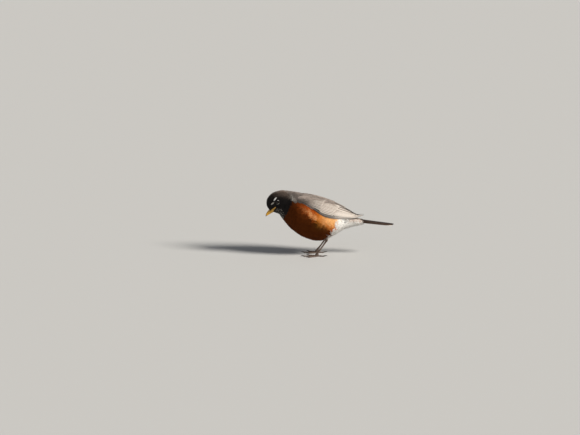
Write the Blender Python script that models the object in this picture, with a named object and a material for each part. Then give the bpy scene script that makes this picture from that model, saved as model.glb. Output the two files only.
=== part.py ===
"""An American robin at life size, standing with its neck bent to look at the ground.

The bird faces -Y, its left side is +X, and the soles of its toes lie on Z = 0.
Sizes below are in millimetres and are turned to metres where meshes are made.
"""

import math

import bmesh
import bpy
import numpy as np
from mathutils import Matrix, Vector

MM = 0.001
GAP = 0.3  # clearance between two pieces that meet
AROUND = 32  # corners of one body section

# ---------------------------------------------------------------- driving dimensions
# Body sections from the root of the bill to the root of the tail. Each has a point on the
# back line (y, z), a point on the belly line (y, z), a half width, and the share of the
# height, measured from the belly line, at which it is widest.
BODY = (
    (-105.4, 80.4, -97.4, 76.6, 4.2, 0.50),  # root of the bill
    (-110.4, 89.0, -94.6, 75.4, 7.6, 0.55),  # forehead
    (-110.0, 99.4, -92.0, 74.4, 10.8, 0.60),  # brow
    (-103.4, 108.2, -89.4, 73.0, 13.2, 0.62),  # crown
    (-94.4, 112.9, -86.4, 70.4, 15.0, 0.60),  # hind crown
    (-83.6, 114.6, -83.4, 65.6, 17.4, 0.55),  # nape
    (-71.0, 113.6, -78.2, 58.6, 21.0, 0.50),  # lower neck
    (-58.0, 111.8, -71.4, 50.6, 25.2, 0.48),  # shoulders
    (-44.0, 109.0, -60.6, 41.6, 29.0, 0.48),  # upper breast
    (-28.0, 104.4, -44.6, 31.4, 31.4, 0.48),  # breast
    (-9.6, 98.2, -25.6, 25.8, 32.0, 0.48),  # belly
    (8.8, 90.4, -6.4, 27.6, 29.6, 0.48),  # hind belly
    (23.0, 81.8, 9.6, 35.8, 24.6, 0.48),  # loins
    (34.6, 73.6, 24.0, 45.0, 18.8, 0.51),  # vent
    (44.0, 67.2, 38.0, 49.6, 14.2, 0.54),  # tail coverts
    (52.0, 64.8, 49.0, 52.0, 12.0, 0.56),  # end of the coverts
    (59.0, 63.4, 57.6, 54.0, 11.2, 0.58),  # root of the tail
)
NECK_FROM, NECK_TO, RUMP_FROM = 4.4, 6.6, 12.0  # where thin cuts part the body
RINGS = {"head": 14, "neck": 7, "trunk": 15, "rump": 10}

# The head is turned a little towards the bird's left, and tipped so that the crown leans
# left too, the way a thrush cocks its head.
HEAD_PITCH = math.radians(50)
HEAD_ROLL = math.radians(16)
HEAD_YAW = math.radians(8)
HEAD_PIVOT = (0.0, -88.0, 98.0)
TURN_FROM, TURN_TO = 3.2, 8.0  # the turn fades out between these sections

EYE_RADIUS = 4.2
EYE_AT = (11.4, -95.6, 98.4)

BILL_TIP = (-112.6, 69.9)
BILL_STEPS = 9
BILL_ARCH = 0.72  # how far its middle line bows up
BILL_LOSS = 0.93  # share of the root's size that is gone at the tip
BILL_TAPER = {"bill_upper": (1.15, 0.62), "bill_lower": (1.15, 0.80)}  # of width, of height

# The folded wing lies on the body from the shoulder to the tip. Along its length these
# give the angle, up from level, of its lower edge and of its upper edge.
WING_FROM, WING_TO = 7.3, 16.0
WING_LOW = (41, 39.5, 32.5, 24, 23.5, 27, 35, 47, 60, 74)
WING_HIGH = (62, 69, 74, 78, 82, 85, 86, 87, 87, 84)
WING_THICK = (1.0, 2.4, 3.4, 3.8, 3.6, 3.2, 2.6, 2.0, 1.5, 1.1)
WING_LIFT = (0.4, 0.4, 0.4, 0.5, 0.9, 1.6, 2.9, 5.0, 7.6, 8.8)
WING_STEPS, WING_ACROSS = 26, 9
WING_RIM = 0.5

TAIL_ROOT = (59.1, 60.1)
TAIL_TIP = (112.2, 54.5)
TAIL_HALF = (10.8, 12.2, 11.4)  # half width at the root, midway and near the tip
TAIL_THICK = (7.2, 2.6, 1.0)
TAIL_ARCH = 0.8
TAIL_ROUND = 5.0  # how much shorter the outermost feathers are
TAIL_STEPS, TAIL_ACROSS = 10, 12

FOOT_AT = (16.0, -22.5)  # where the toes meet, x and y
ANKLE_AT = (15.0, -4.0, 30.0)
HUB_HEIGHT = 4.4
TARSUS_RADIUS = (1.9, 1.35, 1.9)
THIGH_TOP = (14.0, -8.0, 46.0)
THIGH_RADIUS = (9.0, 3.2)
# Each toe: heading in degrees outwards from straight ahead, place of its root outwards and
# ahead of the pad's middle, length from there, claw length.
TOES = {
    "inner": (-24.0, -3.1, 1.8, 13.0, 5.6),
    "middle": (4.0, 0.0, 2.9, 19.0, 6.4),
    "outer": (33.0, 3.1, 1.8, 14.6, 5.2),
    "hind": (172.0, 0.0, -2.9, 9.6, 7.4),
}
TOE_RADIUS = (1.4, 1.1)
CLAW_CURL = 1.25  # radians through which a claw bends down
PAD = ((2.3, 0.0), (2.6, 1.1), (2.3, 2.2), (1.3, 2.8))  # radius and height, sole to top

COLORS = {
    "hood": (0.020, 0.018, 0.019),
    "slate": (0.150, 0.128, 0.115),
    "rufous": (0.420, 0.110, 0.025),
    "white": (0.620, 0.600, 0.570),
    "tail": (0.060, 0.045, 0.045),
    "wing": (0.170, 0.145, 0.130),
    "bill": (0.550, 0.300, 0.050),
    "eye": (0.010, 0.007, 0.006),
    "leg": (0.075, 0.050, 0.038),
    "claw": (0.025, 0.020, 0.018),
}


# ---------------------------------------------------------------- shared shape functions
def through(values, t):
    """Catmull-Rom curve through evenly spaced rows, read at the places t."""
    rows = np.asarray(values, float)
    rows = rows.reshape(len(rows), -1)
    t = np.clip(np.asarray(t, float), 0, len(rows) - 1)
    i = np.minimum(t.astype(int), len(rows) - 2)
    f = (t - i)[:, None]
    padded = np.vstack([2 * rows[0] - rows[1], rows, 2 * rows[-1] - rows[-2]])
    a, b, c, d = (padded[i + k] for k in range(4))
    return 0.5 * (
        2 * b + (c - a) * f + (2 * a - 5 * b + 4 * c - d) * f**2 + (3 * b - a - 3 * c + d) * f**3
    )


def fade(x):
    """Smooth step from 0 to 1."""
    x = np.clip(x, 0, 1)
    return x * x * (3 - 2 * x)


def turn_head(points, t):
    """Turns points about the neck by the share of the head's turn that section t has."""
    forward = np.array([0, -math.cos(HEAD_PITCH), -math.sin(HEAD_PITCH)])
    upward = np.array([0, -math.sin(HEAD_PITCH), math.cos(HEAD_PITCH)])
    spin = -HEAD_ROLL * forward + HEAD_YAW * upward
    axis = spin / np.linalg.norm(spin)
    share = 1 - fade((np.asarray(t, float) - TURN_FROM) / (TURN_TO - TURN_FROM))
    angle = (np.linalg.norm(spin) * share)[..., None]
    arm = points - np.array(HEAD_PIVOT)
    along = (arm @ axis)[..., None] * axis
    around = np.cross(axis, arm)
    return HEAD_PIVOT + along + (arm - along) * np.cos(angle) + around * np.sin(angle)


def body(t, angle, swell=0.0):
    """Body surface in millimetres: section t, at each angle up from the left side.

    A section is an ellipse whose upper and lower halves have their own heights. It stands
    on the line from its belly point to its back point, and swell makes it larger.
    """
    t = np.asarray(t, float)
    row = through(BODY, t)
    back, belly = row[:, 0:2], row[:, 2:4]
    height = np.linalg.norm(back - belly, axis=1)
    up = (back - belly) / height[:, None]
    below = row[:, 5] * height
    centre = belly + up * below[:, None]
    wide = row[:, 4, None] + swell
    side, rise = np.cos(angle), np.sin(angle)
    tall = np.where(rise > 0, (height - below)[:, None], below[:, None]) + swell
    points = np.empty(np.broadcast_shapes(wide.shape, side.shape) + (3,))
    points[..., 0] = wide * side
    points[..., 1:] = centre[:, None, :] + (tall * rise)[..., None] * up[:, None, :]
    return turn_head(points, np.broadcast_to(t[:, None], points.shape[:2]))


def ring_normals(rings):
    """Unit normal of each flat ring of points, towards the tail."""
    first = rings[:, 0] - rings.mean(axis=1)
    quarter = rings[:, rings.shape[1] // 4] - rings.mean(axis=1)
    normal = np.cross(quarter, first)
    return normal / np.linalg.norm(normal, axis=1, keepdims=True)


def material(name, rough=0.7, metallic=0.0):
    """Principled material in one of the bird's colours."""
    made = bpy.data.materials.get(name) or bpy.data.materials.new(name)
    made.use_nodes = True
    shader = made.node_tree.nodes["Principled BSDF"]
    shader.inputs["Base Color"].default_value = (*COLORS[name], 1.0)
    shader.inputs["Roughness"].default_value = rough
    shader.inputs["Metallic"].default_value = metallic
    return made


def solid(name, finish, rings, rough=0.7):
    """Closed object from rings of points in millimetres, with a flat cap at each end."""
    mesh = bpy.data.meshes.new(name)
    bm = bmesh.new()
    loops = [[bm.verts.new(Vector(p) * MM) for p in ring] for ring in rings]
    for one, two in zip(loops, loops[1:]):
        for k in range(len(one)):
            n = (k + 1) % len(one)
            bm.faces.new((one[k], one[n], two[n], two[k]))
    bm.faces.new(loops[0])
    bm.faces.new(loops[-1])
    bmesh.ops.triangulate(bm, faces=bm.faces[:])
    bmesh.ops.recalc_face_normals(bm, faces=bm.faces[:])
    bm.to_mesh(mesh)
    bm.free()
    mesh.shade_smooth()
    mesh.set_sharp_from_angle(angle=math.radians(50))
    made = bpy.data.objects.new(name, mesh)
    bpy.context.scene.collection.objects.link(made)
    mesh.materials.append(material(finish, rough))
    return made


def cut(target, cutter):
    """Takes the cutter's shape away from the target, and keeps the cutter as a guide."""
    step = target.modifiers.new("cut_" + cutter.name, "BOOLEAN")
    step.operation = "DIFFERENCE"
    step.object = cutter
    cutter.hide_render = True
    cutter.display_type = "WIRE"


# ---------------------------------------------------------------- head, neck and trunk
def body_part(name, finish, start, end, open_start, open_end):
    """One length of the body, drawn back by half the gap at each end that has a neighbour."""
    angle = np.linspace(0, 2 * math.pi, AROUND, endpoint=False)
    rings = body(np.linspace(start, end, RINGS[name]), angle)
    normal = ring_normals(rings)
    rings[0] += normal[0] * (GAP / 2 if open_start else 0)
    rings[-1] -= normal[-1] * (GAP / 2 if open_end else 0)
    return solid(name, finish, rings)


def make_body():
    last = len(BODY) - 1
    return {
        "head": body_part("head", "hood", 0, NECK_FROM, True, True),
        "neck": body_part("neck", "slate", NECK_FROM, NECK_TO, True, True),
        "trunk": body_part("trunk", "rufous", NECK_TO, RUMP_FROM, True, True),
        "rump": body_part("rump", "white", RUMP_FROM, last, True, True),
    }


# ---------------------------------------------------------------- bill
def make_bill():
    """Two mandibles. Each section runs from the culmen to the gonys and shrinks to the tip."""
    angle = np.linspace(0, 2 * math.pi, 24, endpoint=False)
    root = body(np.array([0.0]), angle)[0]
    normal = ring_normals(body(np.array([0.0, 0.1]), angle))[0]
    tip = turn_head(np.array([0.0, *BILL_TIP]), 0.0)
    centre = root.mean(axis=0) - normal * GAP / 2
    base = root - normal * GAP / 2 - centre
    side = turn_head(np.array([[1.0, 0, 0], [0, 0, 0]]), np.zeros(2))
    side = side[0] - side[1]
    up = np.cross(normal, side)
    up *= np.sign(up[2])
    way = tip - centre
    place = np.linspace(0, 1, BILL_STEPS)
    share = 1 - place**0.9 * BILL_LOSS
    arch = BILL_ARCH * np.sin(math.pi * place)
    for name, keep in (("bill_upper", 1), ("bill_lower", -1)):
        rings = []
        for k in range(BILL_STEPS):
            middle = centre + way * place[k] + up * arch[k]
            wide, tall = base @ side, base @ up
            half = np.linspace(0, math.pi, 11)
            width = wide.max() * share[k] ** BILL_TAPER[name][0]
            height = (keep * tall).max() * share[k] ** BILL_TAPER[name][1]
            seam = keep * GAP / 2
            across = width * np.cos(half)
            rise = keep * height * np.sin(half)
            rings.append(
                middle + across[:, None] * side + (seam + rise)[:, None] * up
            )
        solid(name, "bill", rings, rough=0.35)


# ---------------------------------------------------------------- eyes
def make_eyes(head):
    """An eyeball each side, in a round socket cut from the head."""
    for name, side in (("left", 1), ("right", -1)):
        place = np.array([EYE_AT[0] * side, EYE_AT[1], EYE_AT[2]])
        place = turn_head(place, 0.0)
        for part, grow in (("eye_", 0.0), ("socket_", GAP)):
            mesh = bpy.data.meshes.new(part + name)
            bm = bmesh.new()
            bmesh.ops.create_icosphere(bm, subdivisions=3, radius=(EYE_RADIUS + grow) * MM)
            bm.transform(Matrix.Translation(Vector(place) * MM))
            bm.to_mesh(mesh)
            bm.free()
            mesh.shade_smooth()
            mesh.materials.append(material("eye", rough=0.08))
            ball = bpy.data.objects.new(part + name, mesh)
            bpy.context.scene.collection.objects.link(ball)
            if grow:
                cut(head, ball)


# ---------------------------------------------------------------- wings
def make_wings():
    """Folded wings: a shell that follows the body's own surface and lifts off it aft."""
    share = np.linspace(0, 1, WING_STEPS)
    t = WING_FROM + (WING_TO - WING_FROM) * share
    place = share * (len(WING_LOW) - 1)
    low, high, thick, lift = (
        through(v, place)[:, 0] for v in (WING_LOW, WING_HIGH, WING_THICK, WING_LIFT)
    )
    across = np.linspace(0, 1, WING_ACROSS)
    angle = np.radians(low[:, None] + (high - low)[:, None] * across)
    crown = np.sqrt(np.clip(1 - (2 * across - 1) ** 4, 0, 1))
    depth = WING_RIM + (thick[:, None] - WING_RIM) * crown
    for name, turned in (("wing_left", angle), ("wing_right", math.pi - angle)):
        rings = []
        for k in range(WING_STEPS):
            here = t[k : k + 1]
            inner = body(here, turned[k], lift[k])[0]
            outer = [
                body(here, turned[k, m : m + 1], lift[k] + depth[k, m])[0, 0]
                for m in range(WING_ACROSS)
            ]
            rings.append(np.vstack([inner, outer[::-1]]))
        solid(name, "wing", rings)


# ---------------------------------------------------------------- tail
def make_tail():
    """Closed fan of tail feathers: one low arch that thins towards its rounded end."""
    share = np.linspace(0, 1, TAIL_STEPS)
    half = through(TAIL_HALF, share * 2)[:, 0]
    thick = through(TAIL_THICK, share**0.6 * 2)[:, 0]
    root, tip = np.array(TAIL_ROOT), np.array(TAIL_TIP)
    across = np.linspace(-1, 1, TAIL_ACROSS)
    rings = []
    for k in range(TAIL_STEPS):
        x = across * half[k]
        y = root[0] + (tip[0] - root[0]) * share[k] - TAIL_ROUND * share[k] * across**2
        middle = root[1] + (tip[1] - root[1]) * share[k] - TAIL_ARCH * across**2
        depth = 0.3 + (thick[k] / 2 - 0.3) * np.sqrt(1 - across**4)
        top = np.column_stack([x, y, middle + depth])
        under = np.column_stack([x, y, middle - depth])
        rings.append(np.vstack([top, under[::-1]]))
    solid("tail", "tail", rings)


# ---------------------------------------------------------------- legs and feet
def tube(start, end, radii, steps, corners=12):
    """Rings of a round bar from start to end, its radius read along radii."""
    start, end = np.array(start, float), np.array(end, float)
    way = end - start
    axis = way / np.linalg.norm(way)
    side = np.cross(axis, (1.0, 0.0, 0.0))
    side /= np.linalg.norm(side)
    other = np.cross(axis, side)
    share = np.linspace(0, 1, steps)
    size = through(radii, share * (len(radii) - 1))[:, 0]
    spin = np.linspace(0, 2 * math.pi, corners, endpoint=False)
    around = np.cos(spin)[:, None] * side + np.sin(spin)[:, None] * other
    middle = start + share[:, None] * way
    return middle[:, None, :] + size[:, None, None] * around[None]


def make_pad(side_name, hub):
    """The cushion under the tarsus, where the four toes meet."""
    spin = np.linspace(0, 2 * math.pi, 16, endpoint=False)
    flat = np.column_stack([np.cos(spin), np.sin(spin), np.zeros(16)])
    rings = [hub + flat * radius + (0, 0, rise) for radius, rise in PAD]
    solid(f"foot_{side_name}", "leg", rings, rough=0.5)


def make_toe(side_name, side, toe):
    """A toe with a flat sole, and its claw, which arches over and ends above the floor."""
    heading, outward, forward, length, claw = TOES[toe]
    turn = math.radians(heading) * side
    ahead = np.array([math.sin(turn), -math.cos(turn), 0.0])
    across = np.array([math.cos(turn), math.sin(turn), 0.0])
    root = np.array([FOOT_AT[0] * side + outward * side, FOOT_AT[1] - forward, 0.0])
    spin = np.linspace(0, 2 * math.pi, 12, endpoint=False)
    rings = []
    for share in np.linspace(0, 1, 6):
        size = TOE_RADIUS[0] + (TOE_RADIUS[1] - TOE_RADIUS[0]) * share
        size *= 1 - 0.08 * math.cos(share * 5 * math.pi)
        rise = np.maximum(size * 0.8 + size * np.sin(spin), 0)
        middle = root + ahead * length * share
        rings.append(middle + np.outer(size * np.cos(spin), across) + np.outer(rise, (0, 0, 1)))
    solid(f"toe_{side_name}_{toe}", "leg", rings, rough=0.5)
    rings = []
    for share in np.linspace(0, 1, 6):
        size = TOE_RADIUS[1] * 0.72 * (1 - 0.82 * share)
        reach = length + GAP + claw * math.sin(share * CLAW_CURL) / math.sin(CLAW_CURL)
        rise = 1.25 + 1.5 * math.sin(share * 2.4) - 0.95 * share  # up, over and down again
        middle = root + ahead * reach + np.array([0, 0, rise])
        rings.append(
            middle
            + np.outer(size * np.cos(spin[::2]), across)
            + np.outer(size * np.sin(spin[::2]), (0, 0, 1))
        )
    solid(f"claw_{side_name}_{toe}", "claw", rings, rough=0.4)


def make_legs():
    """Feathered thigh, bare tarsus and four toes each side."""
    angle = np.linspace(0, 2 * math.pi, AROUND, endpoint=False)
    rings = body(np.linspace(NECK_TO, RUMP_FROM, RINGS["trunk"]), angle, GAP)
    for side_name, side in (("left", 1), ("right", -1)):
        mirror = np.array([side, 1, 1])
        ankle = np.array(ANKLE_AT) * mirror
        hub = np.array([FOOT_AT[0] * side, FOOT_AT[1], HUB_HEIGHT])
        down = (hub - ankle) / np.linalg.norm(hub - ankle)
        thigh = solid(
            f"thigh_{side_name}",
            "white",
            tube(np.array(THIGH_TOP) * mirror, ankle, THIGH_RADIUS, 6, corners=16),
        )
        cutter = solid(f"belly_{side_name}", "rufous", rings)
        cut(thigh, cutter)
        solid(
            f"tarsus_{side_name}",
            "leg",
            tube(ankle + down * 2.6, hub, TARSUS_RADIUS, 8),
            rough=0.5,
        )
        make_pad(side_name, hub * (1, 1, 0))
        for toe in TOES:
            make_toe(side_name, side, toe)


for old in list(bpy.data.objects):
    bpy.data.objects.remove(old)
parts = make_body()
make_bill()
make_eyes(parts["head"])
make_wings()
make_tail()
make_legs()
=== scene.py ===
import math

import bpy
import numpy as np
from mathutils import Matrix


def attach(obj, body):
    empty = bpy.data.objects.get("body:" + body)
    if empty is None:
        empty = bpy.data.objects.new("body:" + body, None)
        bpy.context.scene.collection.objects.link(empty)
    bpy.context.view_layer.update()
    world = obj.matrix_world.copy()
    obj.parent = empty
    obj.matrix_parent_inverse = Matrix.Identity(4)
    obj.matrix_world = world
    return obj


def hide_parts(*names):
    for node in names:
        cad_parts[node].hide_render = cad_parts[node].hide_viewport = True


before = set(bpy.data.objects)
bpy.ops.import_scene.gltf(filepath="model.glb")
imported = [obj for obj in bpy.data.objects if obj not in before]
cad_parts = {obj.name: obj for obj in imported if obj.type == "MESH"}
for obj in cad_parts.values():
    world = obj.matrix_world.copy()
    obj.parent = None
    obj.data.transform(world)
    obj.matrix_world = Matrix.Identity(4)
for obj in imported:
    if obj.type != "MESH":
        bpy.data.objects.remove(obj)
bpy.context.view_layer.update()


# ---------------------------------------------------------------- body form and skin
# A robin's skin is thin, loose and hidden: it lies inside the plumage by the coat's depth.
# One closed surface runs from the root of the bill to the root of the tail, with the
# feathered shanks let into the belly, so no seam shows where head, neck and trunk meet.
MM = 0.001
rng = np.random.default_rng(11)

# Sections of the body out to the tips of the plumage: back point (y, z), belly point (y, z),
# half width, and the share of the height at which it is widest. Millimetres.
BODY = np.array(
    (
        (-105.4, 80.4, -97.4, 76.6, 4.2, 0.50),  # root of the bill
        (-110.4, 89.0, -94.6, 75.4, 7.6, 0.55),  # forehead
        (-110.0, 99.4, -92.0, 74.4, 10.8, 0.60),  # brow
        (-103.4, 108.2, -89.4, 73.0, 13.2, 0.62),  # crown
        (-94.4, 112.9, -86.4, 70.4, 15.0, 0.60),  # hind crown
        (-83.6, 114.6, -83.4, 65.6, 17.4, 0.55),  # nape
        (-71.0, 113.6, -78.2, 58.6, 21.0, 0.50),  # lower neck
        (-58.0, 111.8, -71.4, 50.6, 25.2, 0.48),  # shoulders
        (-44.0, 109.0, -60.6, 41.6, 29.0, 0.48),  # upper breast
        (-28.0, 104.4, -44.6, 31.4, 31.4, 0.48),  # breast
        (-9.6, 98.2, -25.6, 25.8, 32.0, 0.48),  # belly
        (8.8, 90.4, -6.4, 27.6, 29.6, 0.48),  # hind belly
        (23.0, 81.8, 9.6, 35.8, 24.6, 0.48),  # loins
        (34.6, 73.6, 24.0, 45.0, 18.8, 0.51),  # vent
        (44.0, 67.2, 38.0, 49.6, 14.2, 0.54),  # tail coverts
        (52.0, 64.8, 49.0, 52.0, 12.0, 0.56),  # end of the coverts
        (59.0, 63.4, 57.6, 54.0, 11.2, 0.58),  # root of the tail
        (69.0, 61.4, 68.4, 54.8, 11.2, 0.60),  # over the tail feathers
        (80.0, 59.6, 79.8, 54.4, 11.6, 0.60),
        (91.0, 58.0, 91.0, 54.0, 12.0, 0.60),
    )
)
HEAD_PITCH, HEAD_ROLL, HEAD_YAW = math.radians(50), math.radians(16), math.radians(8)
HEAD_PIVOT = np.array((0.0, -88.0, 98.0))
TURN_FROM, TURN_TO = 3.2, 8.0
FORWARD = np.array((0, -math.cos(HEAD_PITCH), -math.sin(HEAD_PITCH)))
UPWARD = np.array((0, -math.sin(HEAD_PITCH), math.cos(HEAD_PITCH)))

# Depth of the coat at each section: close on the face, deep on the breast and belly.
COAT_DEPTH = (0.5, 1.1, 1.5, 1.8, 2.2, 2.8, 3.4, 3.9, 4.2, 4.4, 4.4, 4.2, 3.8, 3.2, 2.5, 2, 1.6, 1.2, 1, 1)


def spline(rows, t):
    """Catmull-Rom curve through evenly spaced rows, read at each t; the last axis is the row."""
    rows = np.asarray(rows, float).reshape(len(rows), -1)
    t = np.asarray(t, float)
    i = np.clip(np.floor(t).astype(int), 0, len(rows) - 2)
    f = (t - i)[..., None]
    ends = np.vstack([2 * rows[0] - rows[1], rows, 2 * rows[-1] - rows[-2]])
    a, b, c, d = (ends[i + k] for k in range(4))
    return b + 0.5 * f * (c - a + f * (2 * a - 5 * b + 4 * c - d + f * (3 * b - a - 3 * c + d)))


def read(values, t):
    """The curve through a row of single values, read at t."""
    return spline(values, t)[..., 0]


def along(values, share):
    """The same curve, read at a share of the way from its first value to its last."""
    return read(values, share * (len(values) - 1))


def fade(x, start=0.0, end=1.0):
    """Smooth step from 0 at start to 1 at end."""
    x = np.clip((x - start) / (end - start), 0, 1)
    return x * x * (3 - 2 * x)


def unit(way):
    """The same direction, one long."""
    return way / np.linalg.norm(way, axis=-1, keepdims=True)


def turns(count):
    """Evenly spaced angles, once round."""
    return np.linspace(0, 2 * math.pi, count, endpoint=False)


def turn_head(points, t):
    """Rolls and turns points about the neck, fully at the head and not at all at the breast."""
    spin = -HEAD_ROLL * FORWARD + HEAD_YAW * UPWARD
    axis = unit(spin)
    angle = np.linalg.norm(spin) * (1 - fade(np.asarray(t), TURN_FROM, TURN_TO))[..., None]
    arm = points - HEAD_PIVOT
    kept = (arm @ axis)[..., None] * axis
    return HEAD_PIVOT + kept + (arm - kept) * np.cos(angle) + np.cross(axis, arm) * np.sin(angle)


def body(t, angle, swell):
    """Point on section t at an angle up from the left side, moved out by swell.

    A section is an ellipse with its own height above and below its widest level, standing
    on the line from the belly point to the back point.
    """
    t, angle, swell = np.broadcast_arrays(t, angle, swell)
    row = spline(BODY, t)
    stand = row[..., 0:2] - row[..., 2:4]
    height = np.linalg.norm(stand, axis=-1)
    up = stand / height[..., None]
    below = row[..., 5] * height
    rise = np.sin(angle)
    tall = np.where(rise > 0, height - below, below) + swell
    points = np.empty(t.shape + (3,))
    points[..., 0] = (row[..., 4] + swell) * np.cos(angle)
    points[..., 1:] = row[..., 2:4] + up * (below + tall * rise)[..., None]
    return turn_head(points, t)


def grid_faces(copies, rows, columns, closed=False, flip=False):
    """Quads of equal grids laid one after another, each row joined to the next."""
    c = np.arange(columns if closed else columns - 1)
    first = np.arange(rows - 1)[:, None] * columns
    a, b = first + c, first + (c + 1) % columns
    quads = np.stack([a, a + columns, b + columns, b], axis=-1).reshape(-1, 4)
    if flip:
        quads = quads[:, ::-1]
    return (quads + (np.arange(copies) * rows * columns)[:, None, None]).reshape(-1, 4)


def tube(rings):
    """Points and outward faces of a row of rings, closed by a middle point at each end."""
    rows, columns = rings.shape[:2]
    quads = grid_faces(1, rows, columns, closed=True)
    points = np.vstack([rings.reshape(-1, 3), rings[0].mean(0), rings[-1].mean(0)])
    first, last = len(points) - 2, len(points) - 1
    c = np.arange(columns)
    n = (c + 1) % columns
    end = (rows - 1) * columns
    near = np.column_stack([c, n, np.full(columns, first)])
    far = np.column_stack([end + n, end + c, np.full(columns, last)])
    corners = [points[quads[:, k]] - points[first] for k in range(3)]
    volume = np.einsum("ij,ij->", corners[0] + corners[2], np.cross(corners[1], corners[2]))
    faces = [tuple(f) for part in (quads, near, far) for f in part.tolist()]
    return points, faces if volume > 0 else [f[::-1] for f in faces]


def gather(shapes):
    """Joins shapes, each a tuple of points, faces and further rows per point."""
    start, faces = 0, []
    for shape in shapes:
        faces += [tuple(start + v for v in f) for f in shape[1]]
        start += len(shape[0])
    points, _, *rest = zip(*shapes)
    return np.vstack(points), faces, *(np.vstack(rows) for rows in rest)


def make_piece(name, points, faces, stuff, uvs=None, tint=None, slot=None, replaces=()):
    """Mesh object from points in millimetres, with its UV maps, tints and calls to the frame."""
    mesh = bpy.data.meshes.new(name)
    if isinstance(faces, np.ndarray):
        mesh.vertices.add(len(points))
        mesh.vertices.foreach_set("co", (points * MM).astype(np.float32).ravel())
        mesh.loops.add(faces.size)
        mesh.loops.foreach_set("vertex_index", faces.astype(np.int32).ravel())
        mesh.polygons.add(len(faces))
        mesh.polygons.foreach_set("loop_start", np.arange(len(faces), dtype=np.int32) * 4)
        mesh.update(calc_edges=True)
    else:
        mesh.from_pydata((points * MM).tolist(), [], faces)
    corner = np.empty(len(mesh.loops), np.int32)
    mesh.loops.foreach_get("vertex_index", corner)
    for layer, places in (uvs or {}).items():
        mesh.uv_layers.new(name=layer).data.foreach_set("uv", places[corner].astype(np.float32).ravel())
    if tint is not None:
        colours = mesh.color_attributes.new(name="Plumage", type="FLOAT_COLOR", domain="POINT")
        rgba = np.concatenate([tint, np.ones((len(tint), 1))], axis=1)
        colours.data.foreach_set("color", rgba.astype(np.float32).ravel())
    mesh.shade_smooth()
    mesh.materials.append(stuff)
    piece = bpy.data.objects.new(name, mesh)
    bpy.context.scene.collection.objects.link(piece)
    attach(piece, "root")
    if replaces:
        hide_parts(*replaces)
    return piece


def colour(code):
    """Linear red, green and blue of an sRGB hex colour."""
    s = np.array([int(code[i : i + 2], 16) for i in (1, 3, 5)]) / 255
    return np.where(s <= 0.04045, s / 12.92, ((s + 0.055) / 1.055) ** 2.4)


def node(tree, kind, links=None, **settings):
    """Adds a node, sets its properties, and gives its inputs values or links."""
    made = tree.nodes.new(kind)
    for key, value in settings.items():
        setattr(made, key, value)
    for key, source in (links or {}).items():
        if isinstance(source, bpy.types.NodeSocket):
            tree.links.new(source, made.inputs[key])
        else:
            made.inputs[key].default_value = source
    return made


def new_material(name, **values):
    """Principled material; values go straight on the shader's sockets."""
    made = bpy.data.materials.new(name)
    made.use_nodes = True
    shader = made.node_tree.nodes["Principled BSDF"]
    for key, value in values.items():
        shader.inputs[key.replace("_", " ")].default_value = value
    return made, made.node_tree, shader


def blend(tint, tone, share):
    """The tint moved a share of the way to a tone."""
    return tint + (tone - tint) * share[..., None]


def painted(tree):
    """The piece's own tint at each point."""
    return node(tree, "ShaderNodeAttribute", attribute_name="Plumage").outputs["Color"]


def pattern(tree, kind, output, sizes, **settings):
    """One output of a texture laid in object coordinates, its scale in cells to the metre."""
    place = node(tree, "ShaderNodeTexCoord").outputs["Object"]
    return node(tree, f"ShaderNodeTex{kind}", {"Vector": place, **sizes}, **settings).outputs[output]


def dress(tree, shader, tone, height, distance, strength):
    """Gives the shader its colour, and a bump whose height is in metres."""
    bump = node(tree, "ShaderNodeBump", {"Height": height, "Distance": distance, "Strength": strength})
    tree.links.new(tone, shader.inputs["Base Color"])
    tree.links.new(bump.outputs["Normal"], shader.inputs["Normal"])


# Melanins colour the whole bird: black ones the hood and tail, mixed ones the brown-grey
# back, and rusty ones the breast. The vent has none and is white.
HOOD, HOOD_EDGE, NAPE_EDGE = colour("#100d0c"), colour("#1f1b19"), colour("#7a6a5f")
BACK, BACK_EDGE, BACK_CORE = colour("#90837a"), colour("#ab9e93"), colour("#71655d")
BREAST, BREAST_EDGE, BREAST_CORE = colour("#ad470d"), colour("#c65a1a"), colour("#9a3b09")
# a warmer orange and a pale tone for the flank, both partly painted light
BREAST_WARM_AND_LIT, BREAST_PALE_AND_HIGHLIGHT = colour("#cf7a22"), colour("#f5bf7c")
# painted shade: the shares of its colours that the breast keeps in front and below
BREAST_PAINTED_SHADE = np.array((0.22, 0.29, 0.33))  # how much of its colours the breast keeps low in front
VENT, VENT_EDGE, VENT_CORE = colour("#e8e4dc"), colour("#faf8f4"), colour("#8d857d")

# Where one colour gives way to the next, as the section on which it changes, read at -90
# degrees (the belly's line), -45, 0 (the side), 45 and 90 (the back's line).
HOOD_END = (4.9, 5.3, 6.05, 6.5, 5.0)
WHITE_FROM = (10.6, 11.1, 11.5, 11.5, 12.3)
# Degrees up from the side above which the back's colour lies, at each section.
BACK_ABOVE = (40, 40, 40, 40, 40, 37, 31, 38, 44, 42, 36, 34, 28, 16, 15, 15, 10, 0, 0, 0)

# How far one unit of stray moves each border, in sections, degrees and sections.
HOOD_STRAY, BACK_STRAY, WHITE_STRAY = 0.25, 5, 0.45

HOOD_PART, BACK_PART, BREAST_PART, VENT_PART = range(4)
SKIN_SHADE = 0.6  # share of the feathers' brightness that the down beneath them has


def region(t, angle, stray):
    """Which colour a feather has at section t, with stray moving each border to and fro."""
    level = np.degrees(np.arcsin(np.clip(np.sin(angle), -1, 1)))
    place = (level + 90) / 45
    hood = t + stray * HOOD_STRAY < read(HOOD_END, place)
    back = level + stray * BACK_STRAY > read(BACK_ABOVE, t)
    white = t + stray * WHITE_STRAY > read(WHITE_FROM, place)
    return np.where(hood, HOOD_PART, np.where(back, BACK_PART, np.where(white, VENT_PART, BREAST_PART)))


def skin_tint(t, angle):
    """The coat's own colours, darkened, for the skin and down beneath it."""
    table = np.array([HOOD, BACK_CORE, BREAST_CORE, VENT])
    return table[region(t, angle, np.zeros_like(t))] * SKIN_SHADE


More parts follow.
